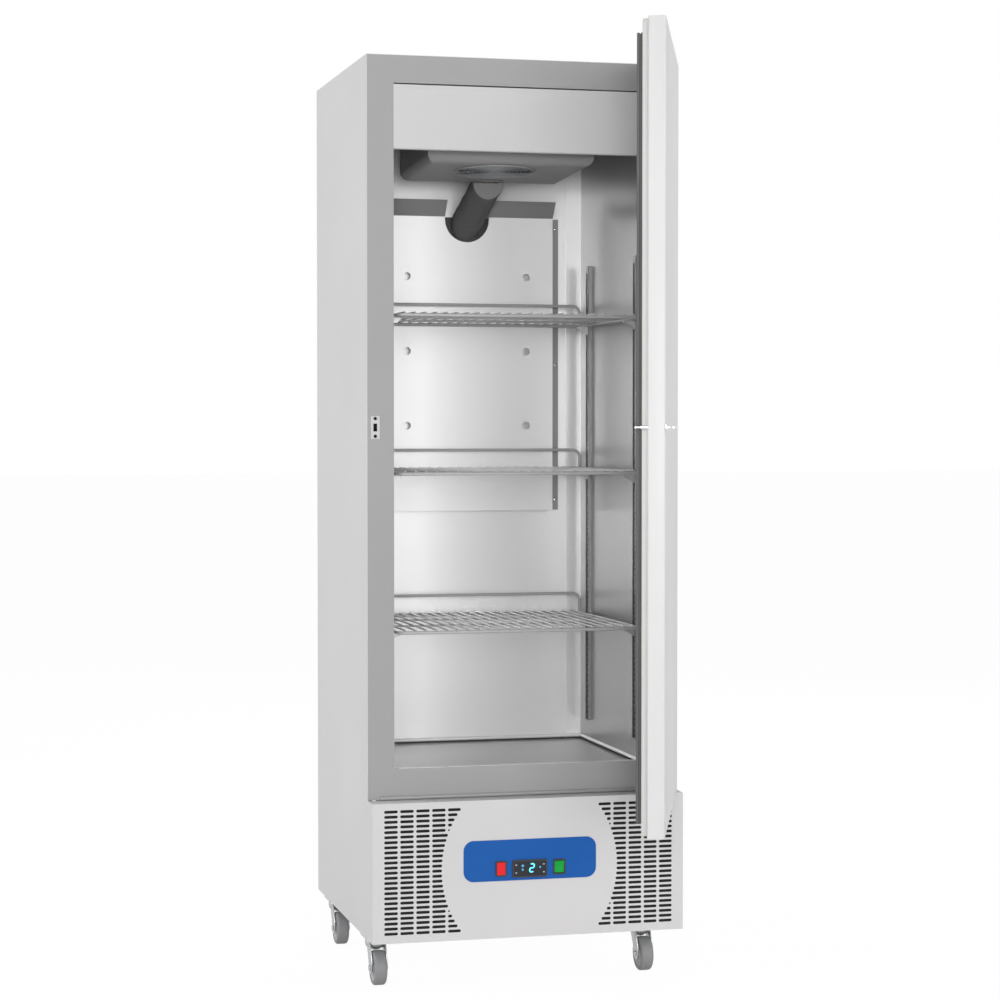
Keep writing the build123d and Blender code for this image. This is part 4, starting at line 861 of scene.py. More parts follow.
@dataclass
class StorageSpace:
    """What is fixed inside the storage space: lining, duct, sleeve, fan guard and rails."""

    lining_sheet: float = 1.5
    seam_x: float = 250.7
    sill_z: float = 470.8
    sill_step: float = -303.2
    # How thick the painted highlight over the sill is.
    highlight_thick: float = 0.4
    bead_rise: float = 10.0
    bead_bend: float = 12.0
    # How far below the bead the painted shadow line runs.
    shadow_drop: float = 6.2
    duct_sheet: float = 1.2
    duct_x: float = 211.0
    duct_face: float = 228.0
    duct_z: Flat = (1006.5, 1704.0)
    duct_lip: tuple[Flat, ...] = ((228, 1704), (200, 1740.5), (200.8, 1741.4), (229.2, 1704.5))
    air_x: float = 145.5
    air_z: Point = (1208.8, 1385.2, 1562)
    air_radius: float = 9.0
    hole_z: float = 1697.6
    hole_radius: float = 53.5
    # Where the painted shade behind the duct starts, and the dark band of painted shade at the foot of the
    # sleeve's hole.
    shade_foot: float = 1600.0
    shade_band_x: float = 30.0
    shade_band_z: Flat = (1634.0, 1656.0)
    rail_face: float = 280.0
    rail_half: float = 10.0
    rail_y: Flat = (-205.0, 170.0)
    notch_pitch: float = 12.5
    notch_shift: float = -2.0
    notch_size: Flat = (11.5, 5.6)
    shade_half: float = 8.2
    sleeve_ends: tuple[Point, Point] = ((-0.5, 233.0, 1689.7), (14.6, 76.0, 1772.0))
    sleeve_radius: float = 36.0
    sleeve_bore: float = 27.5
    sleeve_stations: int = 40
    grooves: Flat = (285.0, 305.0)
    groove_deep: float = 1.6
    groove_half: float = 2.6
    cover_front: float = 101.0
    cover_floor: float = 1770.4
    guard_hub: float = 14.0
    guard_pitch: float = 9.5
    guard_rings: int = 9

    def build(self) -> None:
        """Dresses the fixed pieces and draws those that need a finer form."""
        keep(COVER_PLASTIC, "evaporator_cover")
        keep(ALUMINIUM, "evaporator_coil")
        keep(GREY_PLASTIC, "evaporator_fan_motor")
        keep(ZINC_PLATED, "shelf_clips")
        self.lining()
        self.duct()
        self.pilasters()
        self.sleeve()
        self.guard()

    def lining(self) -> None:
        """The pale back with its seams; the sides and floor, darkened as painted shade; and along the
        floor, a bead, a painted shadow line under it and a painted highlight over the sill.
        """
        low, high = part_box("inner_liner")
        wall, seam, sill = self.lining_sheet * MM, self.seam_x * MM, self.sill_z * MM
        left, right, rear, inside = low.x + wall, high.x - wall, high.y - wall, low.y + wall
        back = Sketch().box((low.x, rear, low.z), high)
        for x in (-seam, seam):
            back.box((x - 0.0011, rear - 0.0012, low.z + 0.004), (x + 0.0011, rear, high.z - 0.004))
        back.piece("liner_back", LINER_ENAMEL, "inner_liner")
        # The side walls are the pale lining darkened as painted shade.
        sides = Sketch()
        for x in (low.x, right):
            sides.box((x, low.y, low.z), (x + wall, rear, high.z))
        sides.box((left, low.y, high.z - wall), (right, rear, high.z))
        sides.piece("liner_sides", SIDE_WALL_PAINTED_SHADE, slot=SHEET_SLOT)
        # The floor is the pale lining darkened as painted shade.
        floor = Sketch().box((left, low.y, low.z), (right, rear, low.z + wall))
        floor.box((left, low.y, low.z + wall), (right, inside, sill))
        floor.piece("liner_floor", FLOOR_PAINTED_SHADE, slot=SHEET_SLOT)
        front, z = low.y + 0.004, low.z + self.bead_rise * MM
        foot = [(left, front, z), (left, rear, z), (right, rear, z), (right, front, z)]
        route = rounded_route(foot, self.bead_bend * MM)
        bead = Sketch().tube(route, circle(0.0042, 12))
        bead.piece("floor_bead", LINER_ENAMEL, slot=SHEET_SLOT, limit=60)
        # A light strip laid over the sill's top and the shadowed gap behind it: painted highlight where
        # the sill's top catches light from above.
        highlight, top = Sketch(), sill + self.highlight_thick * MM
        for inset, y in ((0.001, low.y + 0.0004), (0.012, depth(self.sill_step))):
            highlight.box((low.x + inset, y, sill), (high.x - inset, inside, top))
        highlight.piece("sill_cap", LINER_ENAMEL, slot=SHEET_SLOT)
        # A dark line below the bead: painted shadow in the recess along the floor's edge.
        lowered = [spot - Vector((0, 0, self.shadow_drop * MM)) for spot in route]
        joint = Sketch().tube(lowered, circle(0.0022, 8))
        joint.piece("floor_joint", SHADOW_LINE, slot=SHEET_SLOT)

    def duct(self) -> None:
        """The air duct's face with its holes; its flanges and lip, darkened as painted shade; and painted
        shade behind its upper part.
        """
        low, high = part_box("duct_panel")
        half, sheet, hole = self.duct_x * MM, self.duct_sheet * MM, self.hole_radius * MM
        face, inside = depth(self.duct_face), depth(self.duct_face) + sheet
        foot, head = (z * MM for z in self.duct_z)
        outline = [(-half, foot), (half, foot), (half, head), (hole, head)]
        outline += arc((0.0, self.hole_z * MM), hole, 0, -180, 16)
        outline += [(-hole, head), (-half, head)]
        holes = [
            circle(self.air_radius * MM, 24, (x * MM, z * MM))
            for x in (-self.air_x, self.air_x)
            for z in self.air_z
        ]
        sheet_with_holes(outline, holes, sheet, inside).piece("duct_face", DUCT_ENAMEL, "duct_panel")
        # The flanges and the lip are the duct's own sheet, darkened as painted shade.
        edges = Sketch()
        for side in (-1, 1):
            edges.box((side * half, inside, foot), (side * (half - sheet), high.y, head))
            edges.box((side * half, high.y - sheet, foot), (side * high.x, high.y, head))
            start, end = sorted((side * half, side * hole))
            lip = [put(start / MM, y, z) for y, z in self.duct_lip]
            edges.loft(lip, Vector((end - start, 0, 0)))
        edges.piece("duct_edges", PAINTED_SHADE_STEEL, slot=SHEET_SLOT)
        # A dark sheet behind the duct's upper part and a dark band at the foot of the sleeve's hole:
        # painted shade for the cavity behind the duct, which also hides the pipes' ends there.
        back_shade = Sketch().box(
            (-half + 0.003, high.y - 0.005, self.shade_foot * MM), (half - 0.003, high.y - 0.002, head)
        )
        shade_band_foot, shade_band_head = (z * MM for z in self.shade_band_z)
        x = self.shade_band_x * MM
        back_shade.box((-x, inside + 0.0004, shade_band_foot), (x, inside + 0.0016, shade_band_head))
        back_shade.piece("duct_pad", SHADOW_LINE, slot="foam")

    def pilasters(self) -> None:
        """The four upright channels on the side walls, each notched, darkened as painted shade like the
        walls, with a dark strip of painted shade inside.
        """
        low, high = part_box("shelf_pilasters")
        foot, head = low.z, high.z
        half, sheet, pitch = self.rail_half * MM, self.lining_sheet * MM, self.notch_pitch * MM
        wide, tall = (size * MM for size in self.notch_size)
        notches = [
            rectangle((self.notch_shift * MM, foot + (step + 1) * pitch), (wide, tall))
            for step in range(int((head - foot) / pitch) - 1)
        ]
        outline = [(-half, foot), (half, foot), (half, head), (-half, head)]
        master = sheet_with_holes(outline, notches, sheet).done("pilaster")
        rails, shade = Sketch(), Sketch()
        back, dark = self.rail_face * MM + sheet, self.shade_half * MM
        for side in (-1, 1):
            turn = Matrix.Rotation(-side * math.pi / 2, 4, "Z")
            for y in (depth(y) for y in self.rail_y):
                near, far = (side * (self.rail_face * MM + sheet * share) for share in (1.2, 1.8))
                # A dark strip behind each notched face: painted shade inside the channel.
                shade.box((near, y - dark, foot + 0.003), (far, y + dark, head - 0.003))
                data = master.data.copy()
                data.transform(Matrix.Translation((side * back, y, 0)) @ turn)
                rails.mesh.from_mesh(data)
                bpy.data.meshes.remove(data)
                for edge in (-half, half - sheet):
                    rails.box((side * back, y + edge, foot), (side * high.x, y + edge + sheet, head))
        bpy.data.meshes.remove(master.data)
        # The channels are darkened like the side walls: painted shade.
        rails.piece("pilaster_channels", PILASTER_PAINTED_SHADE, "shelf_pilasters")
        shade.piece("pilaster_insides", SHADOW_LINE, slot=SHEET_SLOT)

    def sleeve(self) -> None:
        """The foam tube, a little uneven, with two grooves along it and a closed upper end."""
        outer, bore = self.sleeve_radius * MM, self.sleeve_bore * MM
        angles = [2 * math.pi * step / 96 for step in range(96)]
        dips = [
            self.groove_deep * MM * sum(
                math.exp(-((math.degrees(a) - groove) / self.groove_half) ** 2)
                for groove in self.grooves
            )
            for a in angles
        ]
        sketch = Sketch()
        shells = [[], []]
        for index in range(self.sleeve_stations + 1):
            share = index / self.sleeve_stations
            wave = 0.0004 * math.sin(share * 21) + 0.0003 * math.sin(share * 47 + 1)
            uneven = [self.sleeve_spot(share, outer + wave - dip, a) for a, dip in zip(angles, dips)]
            shells[0].append(sketch.ring(uneven))
            shells[1].append(sketch.ring([self.sleeve_spot(share, bore, a) for a in angles]))
        for shell in shells:
            for one, two in zip(shell, shell[1:]):
                sketch.bridge(one, two)
        for end in (0, -1):
            sketch.bridge(shells[0][end], shells[1][end])
        sketch.piece("pipe_sleeve_foam", SLEEVE_FOAM, "pipe_sleeve", limit=50)
        rim = [self.sleeve_spot(1.0, outer - 0.0012, a) - Vector((0, 0.0003, 0)) for a in angles]
        Sketch().loft(rim, Vector((0, 0.004, 0))).piece("sleeve_end", FOAM_END, slot="foam")

    def sleeve_spot(self, share: float, radius: float, angle: float) -> Vector:
        """A point of the tube, which is cut upright at both ends and level under the cover.

        Args:
            share: How far along the tube it lies.
            radius: How far from its axis.
            angle: Where round its axis, in radians.

        Returns:
            The point in metres.
        """
        start, end = (Vector(put(*spot)) for spot in self.sleeve_ends)
        along = (end - start).normalized()
        across = Vector((0, 0, 1)).cross(along).normalized()
        rise = along.cross(across)
        base = start + across * radius * math.cos(angle) + rise * radius * math.sin(angle)
        spot = base + along * (start.y + (end.y - start.y) * share - base.y) / along.y
        if spot.y < depth(self.cover_front):
            spot.z = min(spot.z, self.cover_floor * MM)
        return spot

    def guard(self) -> None:
        """The round wire guard over the fan, in rings on four cross wires."""
        low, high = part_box("fan_guard")
        sketch = Sketch()
        for step in range(self.guard_rings):
            ring = circle((self.guard_hub + self.guard_pitch * step) * MM, 48)
            wire = 0.0019 if step == self.guard_rings - 1 else 0.0012
            sketch.tube([Vector((x, y, 0.0)) for x, y in ring], circle(wire, 8), closed=True)
        lift = Vector((0, 0, 0.0016))
        for turn in range(4):
            angle = math.radians(45 * turn + 22)
            reach = Vector((math.cos(angle), math.sin(angle), 0.0)) * 0.0905
            sketch.tube([lift - reach, lift + reach], circle(0.0014, 8))
        sketch.spun(rod(self.guard_hub * MM, -0.001, 0.002), Matrix.Identity(4), 32)
        fall = Matrix.Rotation(math.atan2(-14.0, 295.0), 4, "X")
        sketch.turned(Matrix.Translation((low + high) / 2) @ fall)
        sketch.piece("fan_guard_wires", GREY_PLASTIC, "fan_guard", limit=60)


@dataclass
class Pipework:
    """The refrigerant pipes and the drain hose, from the sleeve down to the base."""

    drop: float = 14.0
    rise_y: float = 92.0
    duct_y: float = 240.5
    wall_y: float = 272.0
    coil_y: float = -310.5
    bend: float = 12.0

    def build(self) -> None:
        """Draws the three pipes and the hose with round sections."""
        coil = self.coil_y
        suction = self.fall(0, (self.wall_y, 235), (20, 235)) + [(59, 20, 235)]
        liquid = self.fall(-13, (self.wall_y, 180), (coil, 180)) + [(-50, coil, 180)]
        discharge = [(59, -20, 290), (20, -20, 290), (20, -20, 340), (20, coil, 340), (-50, coil, 340)]
        drain = self.fall(13, (self.wall_y, 300), (190, 240), (190, 150))
        pipes, hose = Sketch(), Sketch()
        for sketch, corners, radius in (
            (pipes, suction, 4.75), (pipes, liquid, 3.2), (pipes, discharge, 3.2), (hose, drain, 6.0)
        ):
            route = rounded_route([put(*corner) for corner in corners], self.bend * MM)
            sketch.tube(route, circle(radius * MM, 14))
        pipes.piece("refrigerant_pipes", COPPER, "refrigerant_lines", limit=50)
        hose.piece("drain_hose_smooth", GREY_PLASTIC, "drain_hose", limit=50)

    def fall(self, offset: float, *turns: Flat) -> list[Point]:
        """A route inside the sleeve, the duct and the back wall, and on to the base.

        Args:
            offset: How far beside the sleeve's middle the pipe lies.
            turns: The Y and Z of its own corners below those that all share.

        Returns:
            Its corners in millimetres.
        """
        spots = []
        for y in (self.rise_y, self.duct_y):
            share = (228 - y) / 152
            spots.append((14.6 * share + offset, y, 1692.3 + 79.7 * share - self.drop))
        top, duct = spots
        shared = [(top[0], self.rise_y, 1800), top, duct]
        return shared + [(duct[0], y, z) for y, z in ((self.duct_y, 1100), (self.wall_y, 1060), *turns)]


@dataclass
class WireShelf:
    """One wire shelf: a round frame, wires front to back, two cross bars and a stop rail."""

    node: str
    half_x: float = 272.5
    frame_wire: float = 3.75
    frame_lift: float = 0.12
    bar_wire: float = 2.25
    cross_wire: float = 2.0
    pitch: float = 23.5
    corner: float = 12.0
    rail_rise: float = 47.0
    rail_bend: float = 18.0

    def build(self, bars: Repeater) -> None:
        """Draws the shelf round the place of its CAD node.

        Args:
            bars: The tree that makes rows of equal bars.
        """
        low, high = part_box(self.node)
        wire, thin, bar = self.frame_wire * MM, self.cross_wire * MM, self.bar_wire * MM
        z = low.z + wire + self.frame_lift * MM
        front, back, half = low.y + wire, high.y - wire, self.half_x * MM
        corners = [(-half, front, z), (half, front, z), (half, back, z), (-half, back, z)]
        sketch = Sketch()
        sketch.tube(rounded_route(corners, self.corner * MM, True), circle(wire), closed=True)
        third, level = (back - front) / 3, z + wire - bar
        for y in (front + third, back - third):
            ends = [Vector((wire - half, y, level)), Vector((half - wire, y, level))]
            sketch.tube(ends, circle(bar, 12))
        foot, top = back - (self.corner + self.frame_wire) * MM, z + self.rail_rise * MM
        rail = [(-half, foot, z), (-half, foot, top), (half, foot, top), (half, foot, z)]
        sketch.tube(rounded_route(rail, self.rail_bend * MM), circle(wire - 0.0004))
        sketch.piece(f"{self.node}_frame", COATED_WIRE, self.node, body=self.node, limit=50)
        count = int(2 * (self.half_x - self.pitch / 2) / self.pitch) + 1
        first = -(count - 1) * self.pitch / 2 * MM
        wires = bars.apply(f"{self.node}_wires", {
            "Start": (first, front - wire + 0.001, z + wire + thin - 0.0004),
            "Step": (self.pitch * MM, 0.0, 0.0),
            "Count": count,
            "Reach": (0.0, back - front + 2 * wire - 0.002, 0.0),
            "Radius": thin,
            "Sides": 12,
        })
        smooth(wires, 50)
        dress(wires, COATED_WIRE, body=self.node, slot="wire_coat")


@dataclass
class Door:
    """The door: its folded pans, its seal and its lock, drawn shut and then swung open."""

    half_x: float = 340.0
    low_z: float = 407.0
    high_z: float = 1995.0
    face_y: float = -361.5
    pan_y: float = -328.5
    inner_y: float = -315.0
    edge_round: float = 4.0
    recess: float = 20.0
    seal_half: float = 299.0
    seal_z: Flat = (441.0, 1959.0)
    lock_at: Flat = (-329.7, 1204.6)

    def build(self) -> None:
        """Draws and dresses every piece of the door."""
        keep(WALL_FOAM, "door_foam")
        keep(GREY_PLASTIC, "door_hinge_bushes")
        self.outer_pan()
        self.inner_pan()
        self.gasket()
        self.lock()

    def outer_pan(self) -> None:
        """The outer sheet with its rounded long edges."""
        radius, half = self.edge_round * MM, self.half_x * MM
        face, back = depth(self.face_y), depth(self.pan_y)
        outline = [(-half, back), (half, back)]
        for side, first in ((1, 0), (-1, -90)):
            outline += arc((side * (half - radius), face + radius), radius, first, -90, 6)
        low, high = self.low_z * MM, self.high_z * MM
        sketch = Sketch().loft([(x, y, low) for x, y in outline], Vector((0, 0, high - low)))
        sketch.turned(DOOR_SWING)
        sketch.piece(
            "door_outer_skin", DOOR_ENAMEL, "door_outer_pan", body="door", limit=60, bevel=0.0008
        )

    def inner_pan(self) -> None:
        """The inner sheet: a flange, a raised middle with rounded edges and corners."""
        half, raised = self.half_x * MM, (self.half_x - self.recess) * MM
        flange, face = depth(self.pan_y), depth(self.inner_y)
        low, high = self.low_z * MM, self.high_z * MM
        middle, tall, foot = (low + high) / 2, high - low, flange + MM
        sketch = Sketch().box((-half, flange, low), (half, foot, high))
        outline = rounded_outline(2 * raised, tall - 0.003, 0.006, 4)
        rings = []
        for inset, share in ((0.0, 0.0), (0.0, 0.6), (0.0012, 0.86), (0.004, 1.0)):
            sx, sz = 1 - inset / raised, 1 - 2 * inset / tall
            y = foot + (face - foot) * share
            rings.append([(x * sx, y, middle + z * sz) for x, z in outline])
        sketch.skin(rings).turned(DOOR_SWING)
        sketch.piece("door_inner_skin", DOOR_LINING, "door_inner_pan", body="door", limit=40)

    def gasket(self) -> None:
        """The seal with its foot, folded bellows and magnet bar, mitred at its corners."""
        section = [
            (-0.009, 0.0), (0.009, 0.0), (0.009, 0.0022), (0.0068, 0.0032), (0.0068, 0.0052),
            (0.0084, 0.0062), (0.0084, 0.0096), (0.0074, 0.0112), (-0.0066, 0.0112),
            (-0.0076, 0.0098), (-0.0076, 0.0088), (-0.0050, 0.0076), (-0.0046, 0.0060),
            (-0.0072, 0.0048), (-0.0086, 0.0034), (-0.009, 0.0022),
        ]
        half, face = self.seal_half * MM, depth(self.inner_y)
        low, high = (z * MM for z in self.seal_z)
        rings = [
            [(sx * (half + across), face + up, z + sz * across) for across, up in section]
            for sx, z, sz in ((-1, low, -1), (1, low, -1), (1, high, 1), (-1, high, 1))
        ]
        sketch = Sketch().skin(rings, True).turned(DOOR_SWING)
        sketch.piece("door_seal", SEAL_RUBBER, "door_gasket", body="door", limit=30)

    def lock(self) -> None:
        """The escutcheon, the barrel with its headed bolt, and the key."""
        x, z = self.lock_at
        place = DOOR_SWING @ Matrix.Translation(put(x, self.face_y, z)) @ FACING_FRONT
        rim = [(0.00815, 0.0), (0.00998, 0.0), (0.00998, 0.0008), (0.0092, 0.0015), (0.00815, 0.0015)]
        ring = Sketch().spun(rim, place)
        ring.piece("lock_ring", CHROMED, "lock_escutcheon", body="door", limit=40)
        back = (self.face_y - self.pan_y - 1) * MM
        face = (self.face_y - self.inner_y) * MM
        barrel = [
            (0.0, 0.0025), (0.0068, 0.0025), (0.0079, 0.0018), (0.0079, back), (0.0038, back),
            (0.0038, face - 0.0015), (0.0033, face - 0.002), (0.002, face - 0.002),
            (0.002, face - 0.009), (0.0028, face - 0.009), (0.0032, face - 0.0096),
            (0.0032, face - 0.0124), (0.0026, face - 0.013), (0.0, face - 0.013),
        ]
        held = Sketch().spun(barrel, place, 32)
        held.piece("lock_barrel_turned", CHROMED, "lock_barrel", body="lock", limit=35)
        keep(CHROMED, "lock_key")


@dataclass
class Base:
    """The vented front of the base, and what stands behind it."""

    half_x: float = 346.5
    front: float = -354.9
    low_z: float = 103.0
    high_z: float = 403.0
    sheet: float = 1.0
    ledge_back: float = -303.7
    rows: int = 25
    top: float = 385.4
    pitch: float = 10.9
    slot_height: float = 6.3
    outer: float = 321.8
    slot_length: float = 29.9
    column: float = 34.9
    columns: int = 5
    field_round: Point = (31.7, 254.6, 227.0)
    least: float = 3.4
    # Where the black sheets of painted shade behind the slots stand, in millimetres.
    slot_shade_x: Flat = (150.5, 325.5)
    slot_shade_z: Flat = (118.0, 392.0)
    slot_shade_y: Flat = (0.65, 1.55)

    def build(self) -> None:
        """Draws the front panel and dresses the cooling unit."""
        keep(ZINC_SHEET, "base_chassis", "rear_grille")
        keep(BLACK_ENAMEL, "compressor", "condenser_fan_motor", "condenser_coil")
        keep(GREY_PLASTIC, "melt_water_tray", "condenser_fan", "evaporator_fan")
        keep(BLACK_PLASTIC, "power_inlet")
        self.front_panel()

    def slots(self) -> list[list[Flat]]:
        """The outline of every cooling slot, in two fields that mirror each other.

        Returns:
            One list of corners for each slot.
        """
        loops = []
        offset, middle, radius = self.field_round
        for row in range(self.rows):
            z = self.top - row * self.pitch
            inner = math.sqrt(radius ** 2 - (z - middle) ** 2) - offset
            for column in range(self.columns):
                end = self.outer - column * self.column
                start = max(end - self.slot_length, inner)
                if end - start < self.least:
                    continue
                if end - self.column - inner < self.least:
                    start = inner
                for low, high in ((start, end), (-end, -start)):
                    loops.append(slot_outline(low * MM, high * MM, z * MM, self.slot_height * MM))
        return loops

    def front_panel(self) -> None:
        """The slotted sheet with the switches' ways, the ledge on top, and black sheets of painted shade
        behind the slots.
        """
        half, low, high = self.half_x * MM, self.low_z * MM, self.high_z * MM
        outline = [(-half, low), (half, low), (half, high), (-half, high)]
        holes = self.slots() + SWITCH_WAYS
        panel = sheet_with_holes(outline, holes, self.sheet * MM, depth(self.front + self.sheet))
        panel.piece("base_front_sheet", BASE_ENAMEL, "base_front_panel")
        front, back = depth(self.front) + 0.0009, depth(self.ledge_back)
        ledge = Sketch().box((-half, front, high - 0.001), (half, back, high))
        ledge.piece("base_ledge", BASE_ENAMEL, slot=SHEET_SLOT, limit=35, bevel=0.0004)
        # Black sheets right behind both slot fields: painted shade for the dark inside of the base.
        slot_shade = Sketch()
        near, far = (self.front + y for y in self.slot_shade_y)
        for side in (-1, 1):
            inner, outer = (side * x for x in self.slot_shade_x)
            slot_shade.box(put(inner, near, self.slot_shade_z[0]), put(outer, far, self.slot_shade_z[1]))
        slot_shade.piece("dust_mats", PAINTED_SHADE_BLACK, slot="foam")


class Segment(Enum):
    """The bars of a seven-bar figure that the display can light, each as two ends."""

    TOP = ((0, 2), (1, 2))
    UPPER_LEFT = ((0, 1), (0, 2))
    UPPER_RIGHT = ((1, 1), (1, 2))
    MIDDLE = ((0, 1), (1, 1))
    LOWER_LEFT = ((0, 0), (0, 1))
    LOWER_RIGHT = ((1, 0), (1, 1))
    BOTTOM = ((0, 0), (1, 0))


@dataclass
class Controls:
    """The blue plate, the switches, and the controller with its lit figure and key marks."""

    plate_x: float = 148.0
    plate_z: Flat = (227.3, 316.0)
    corner: float = 22.0
    thick: float = 1.5
    front: float = -354.9
    window_y: float = -359.6
    mark_thick: float = 0.12
    figure: Flat = (3.0, 253.6)
    figure_size: Flat = (9.0, 8.6)
    stroke: float = 2.6
    joint: float = 0.35
    lean: float = 0.10
    ray_half: float = 0.45

    def build(self) -> None:
        """Draws the plate and the marks, and dresses the switches."""
        keep(BLACK_PLASTIC, "switch_bezels", "controller_housing")
        keep(DISPLAY_BLACK, "controller_window")
        keep(RED_PLASTIC, "red_button")
        keep(GREEN_PLASTIC, "green_rocker")
        self.plate()
        two = (Segment.TOP, Segment.UPPER_RIGHT, Segment.MIDDLE, Segment.LOWER_LEFT, Segment.BOTTOM)
        self.marks("display_figure", DISPLAY_GLOW, self.digit(two))
        self.marks("display_symbols", SYMBOL_GLOW, self.symbols())
        keys = [(x, z, way) for x in (-32.4, 29.6) for z, way in ((261.4, 1), (243.2, -1))]
        self.marks("key_marks", KEY_INK, [
            [(x - 2.2, z - 1.5 * way), (x + 2.2, z - 1.5 * way), (x, z + 1.7 * way)]
            for x, z, way in keys
        ])

    def plate(self) -> None:
        """The rounded plate with its three ways."""
        low, high = self.plate_z
        rounded = rounded_outline(2 * self.plate_x * MM, (high - low) * MM, self.corner * MM, 12)
        outline = [(x, (low + high) / 2 * MM + z) for x, z in rounded]
        plate = sheet_with_holes(outline, SWITCH_WAYS, self.thick * MM, depth(self.front))
        plate.piece("control_plate_sheet", BLUE_ENAMEL, "control_plate")

    def marks(self, name: str, finish: Finish, outlines: Sequence[Sequence[Flat]]) -> None:
        """Sets flat marks on the window as one piece.

        Args:
            name: The piece's name.
            finish: Its finish.
            outlines: The corners of each mark in millimetres.
        """
        sketch = Sketch()
        for spots in outlines:
            corners = [put(x, self.window_y, z) for x, z in spots]
            sketch.loft(corners, Vector((0, -self.mark_thick * MM, 0)))
        sketch.piece(name, finish, slot="display")

    def digit(self, lit: Sequence[Segment]) -> list[list[Flat]]:
        """The lit figure, made of bars with pointed ends.

        Args:
            lit: The bars that are lit.

        Returns:
            The corners of each bar.
        """
        (width, high), (x0, z0), half = self.figure_size, self.figure, self.stroke / 2
        bars = []
        for segment in lit:
            start, end = (Vector(((x - 0.5) * width, (z - 1) * high)) for x, z in segment.value)
            along = (end - start).normalized()
            side = Vector((-along.y, along.x)) * half
            start += along * self.joint
            end -= along * self.joint
            corners = [
                start, start + along * half + side, end - along * half + side,
                end, end - along * half - side, start + along * half - side,
            ]
            bars.append([(x0 + p.x + p.y * self.lean, z0 + p.y) for p in corners])
        return bars

    def symbols(self) -> list[list[Flat]]:
        """The lit star over a smaller one at the left, and the faint one at the right.

        Returns:
            The corners of each ray.
        """
        rays = []
        for x, z, reach in ((-17.6, 258.6, 3.4), (-17.6, 250.4, 2.4), (21.4, 254.6, 2.2)):
            for turn in range(3):
                angle = math.radians(60 * turn + 30)
                ax, az = reach * math.cos(angle), reach * math.sin(angle)
                nx, nz = -self.ray_half * math.sin(angle), self.ray_half * math.cos(angle)
                ends = ((-1, 1), (1, 1), (1, -1), (-1, -1))
                rays.append([(x + a * ax + n * nx, z + a * az + n * nz) for a, n in ends])
        return rays


@dataclass
class Castor:
    """One swivelling castor: its fork, its axle and its wheel."""

    place: str
    swivel: Flat
    wheel_radius: float = 37.5
    wheel_width: float = 28.0
    shoulder: float = 6.0
    trail: float = 28.0
    top: float = 98.7
    axle_radius: float = 4.0
    cheek: float = 2.5
    cheek_gap: float = 1.5
    cheek_round: float = 14.0
    crown_y: Flat = (-21.0, 19.0)
    crown_thick: float = 3.0

    def build(self) -> None:
        """Draws the fork and the wheel round the place of their CAD nodes."""
        x, y = self.swivel
        self.fork(x, y)
        self.wheel(x, y - self.trail)

    def fork(self, x: float, y: float) -> None:
        """The pressed fork with its crown, swivel cup and cheeks, the axle and its nuts.

        Args:
            x: The swivel's place across the cabinet, in millimetres.
            y: Its place from front to back.
        """
        half = self.wheel_width / 2 + self.cheek_gap
        axle_y, axle_z, crown = y - self.trail, self.wheel_radius, self.top - 1
        front, rear = (y + reach for reach in self.crown_y)
        outline = [(rear, crown), (front, crown), (axle_y - 17, axle_z + 16)]
        outline += arc((axle_y, axle_z), self.cheek_round, 180, 180, 8)
        outline.append((axle_y + 20, axle_z + 17))
        outside = half + self.cheek
        sketch = Sketch()
        for low in (x - outside, x + half):
            sketch.loft([put(low, py, pz) for py, pz in outline], Vector((self.cheek * MM, 0, 0)))
        sketch.box(put(x - outside, front, crown - self.crown_thick), put(x + outside, rear, crown))
        cup = [
            (0.0, -0.0262), (0.010, -0.0262), (0.015, -0.0225), (0.0215, -0.0192),
            (0.0232, -0.012), (0.0225, -0.002), (0.021, -0.0003), (0.0, -0.0003),
        ]
        upright = Matrix.Translation(put(x, y, self.top))
        sketch.spun(cup, upright, 40)
        sketch.spun(rod(0.005, -0.001, 0.0038), upright, 24)
        axle = Matrix.Translation(put(x, axle_y, axle_z)) @ FACING_SIDE
        reach = (half + 5.5) * MM
        sketch.spun(rod(self.axle_radius * MM, -reach, reach), axle, 24)
        for side in (-1, 1):
            nut = axle @ Matrix.Translation((0, 0, side * (half + 4) * MM))
            sketch.spun(rod(0.0066, -0.0014, 0.0014), nut, 6)
        body = f"castor_fork_{self.place}"
        sketch.piece(f"{body}_pressed", ZINC_PLATED, body, body=body, limit=40, bevel=0.0007)

    def wheel(self, x: float, y: float) -> None:
        """The rubber tread with rounded shoulders, and the grooved core it sits on.

        Args:
            x: The axle's place across the cabinet, in millimetres.
            y: Its place from front to back.
        """
        place = Matrix.Translation(put(x, y, self.wheel_radius)) @ FACING_SIDE
        body = f"castor_wheel_{self.place}"
        outer, end, bend = self.wheel_radius * MM, -self.wheel_width / 2 * MM, self.shoulder * MM
        profile = [(0.0275, end + 0.001), (outer - bend - 0.001, end)]
        profile += arc((outer - bend, end + bend), bend, -90, 90, 6)
        tread = Sketch().spun(mirrored(profile), place, 64, True)
        tread.piece(f"{body}_tread", GREY_TREAD, body, body=body, limit=40)
        core = [
            ((self.axle_radius + 0.05) * MM, end + 0.0005), (0.009, end + 0.0005),
            (0.010, end + 0.002), (0.012, end + 0.004), (0.023, end + 0.004),
            (0.0255, end + 0.0015), (0.0277, end + 0.0012),
        ]
        held = Sketch().spun(mirrored(core), place, 48, True)
        held.piece(f"{body}_core", WHEEL_CORE, body=body, slot="tread", limit=35)


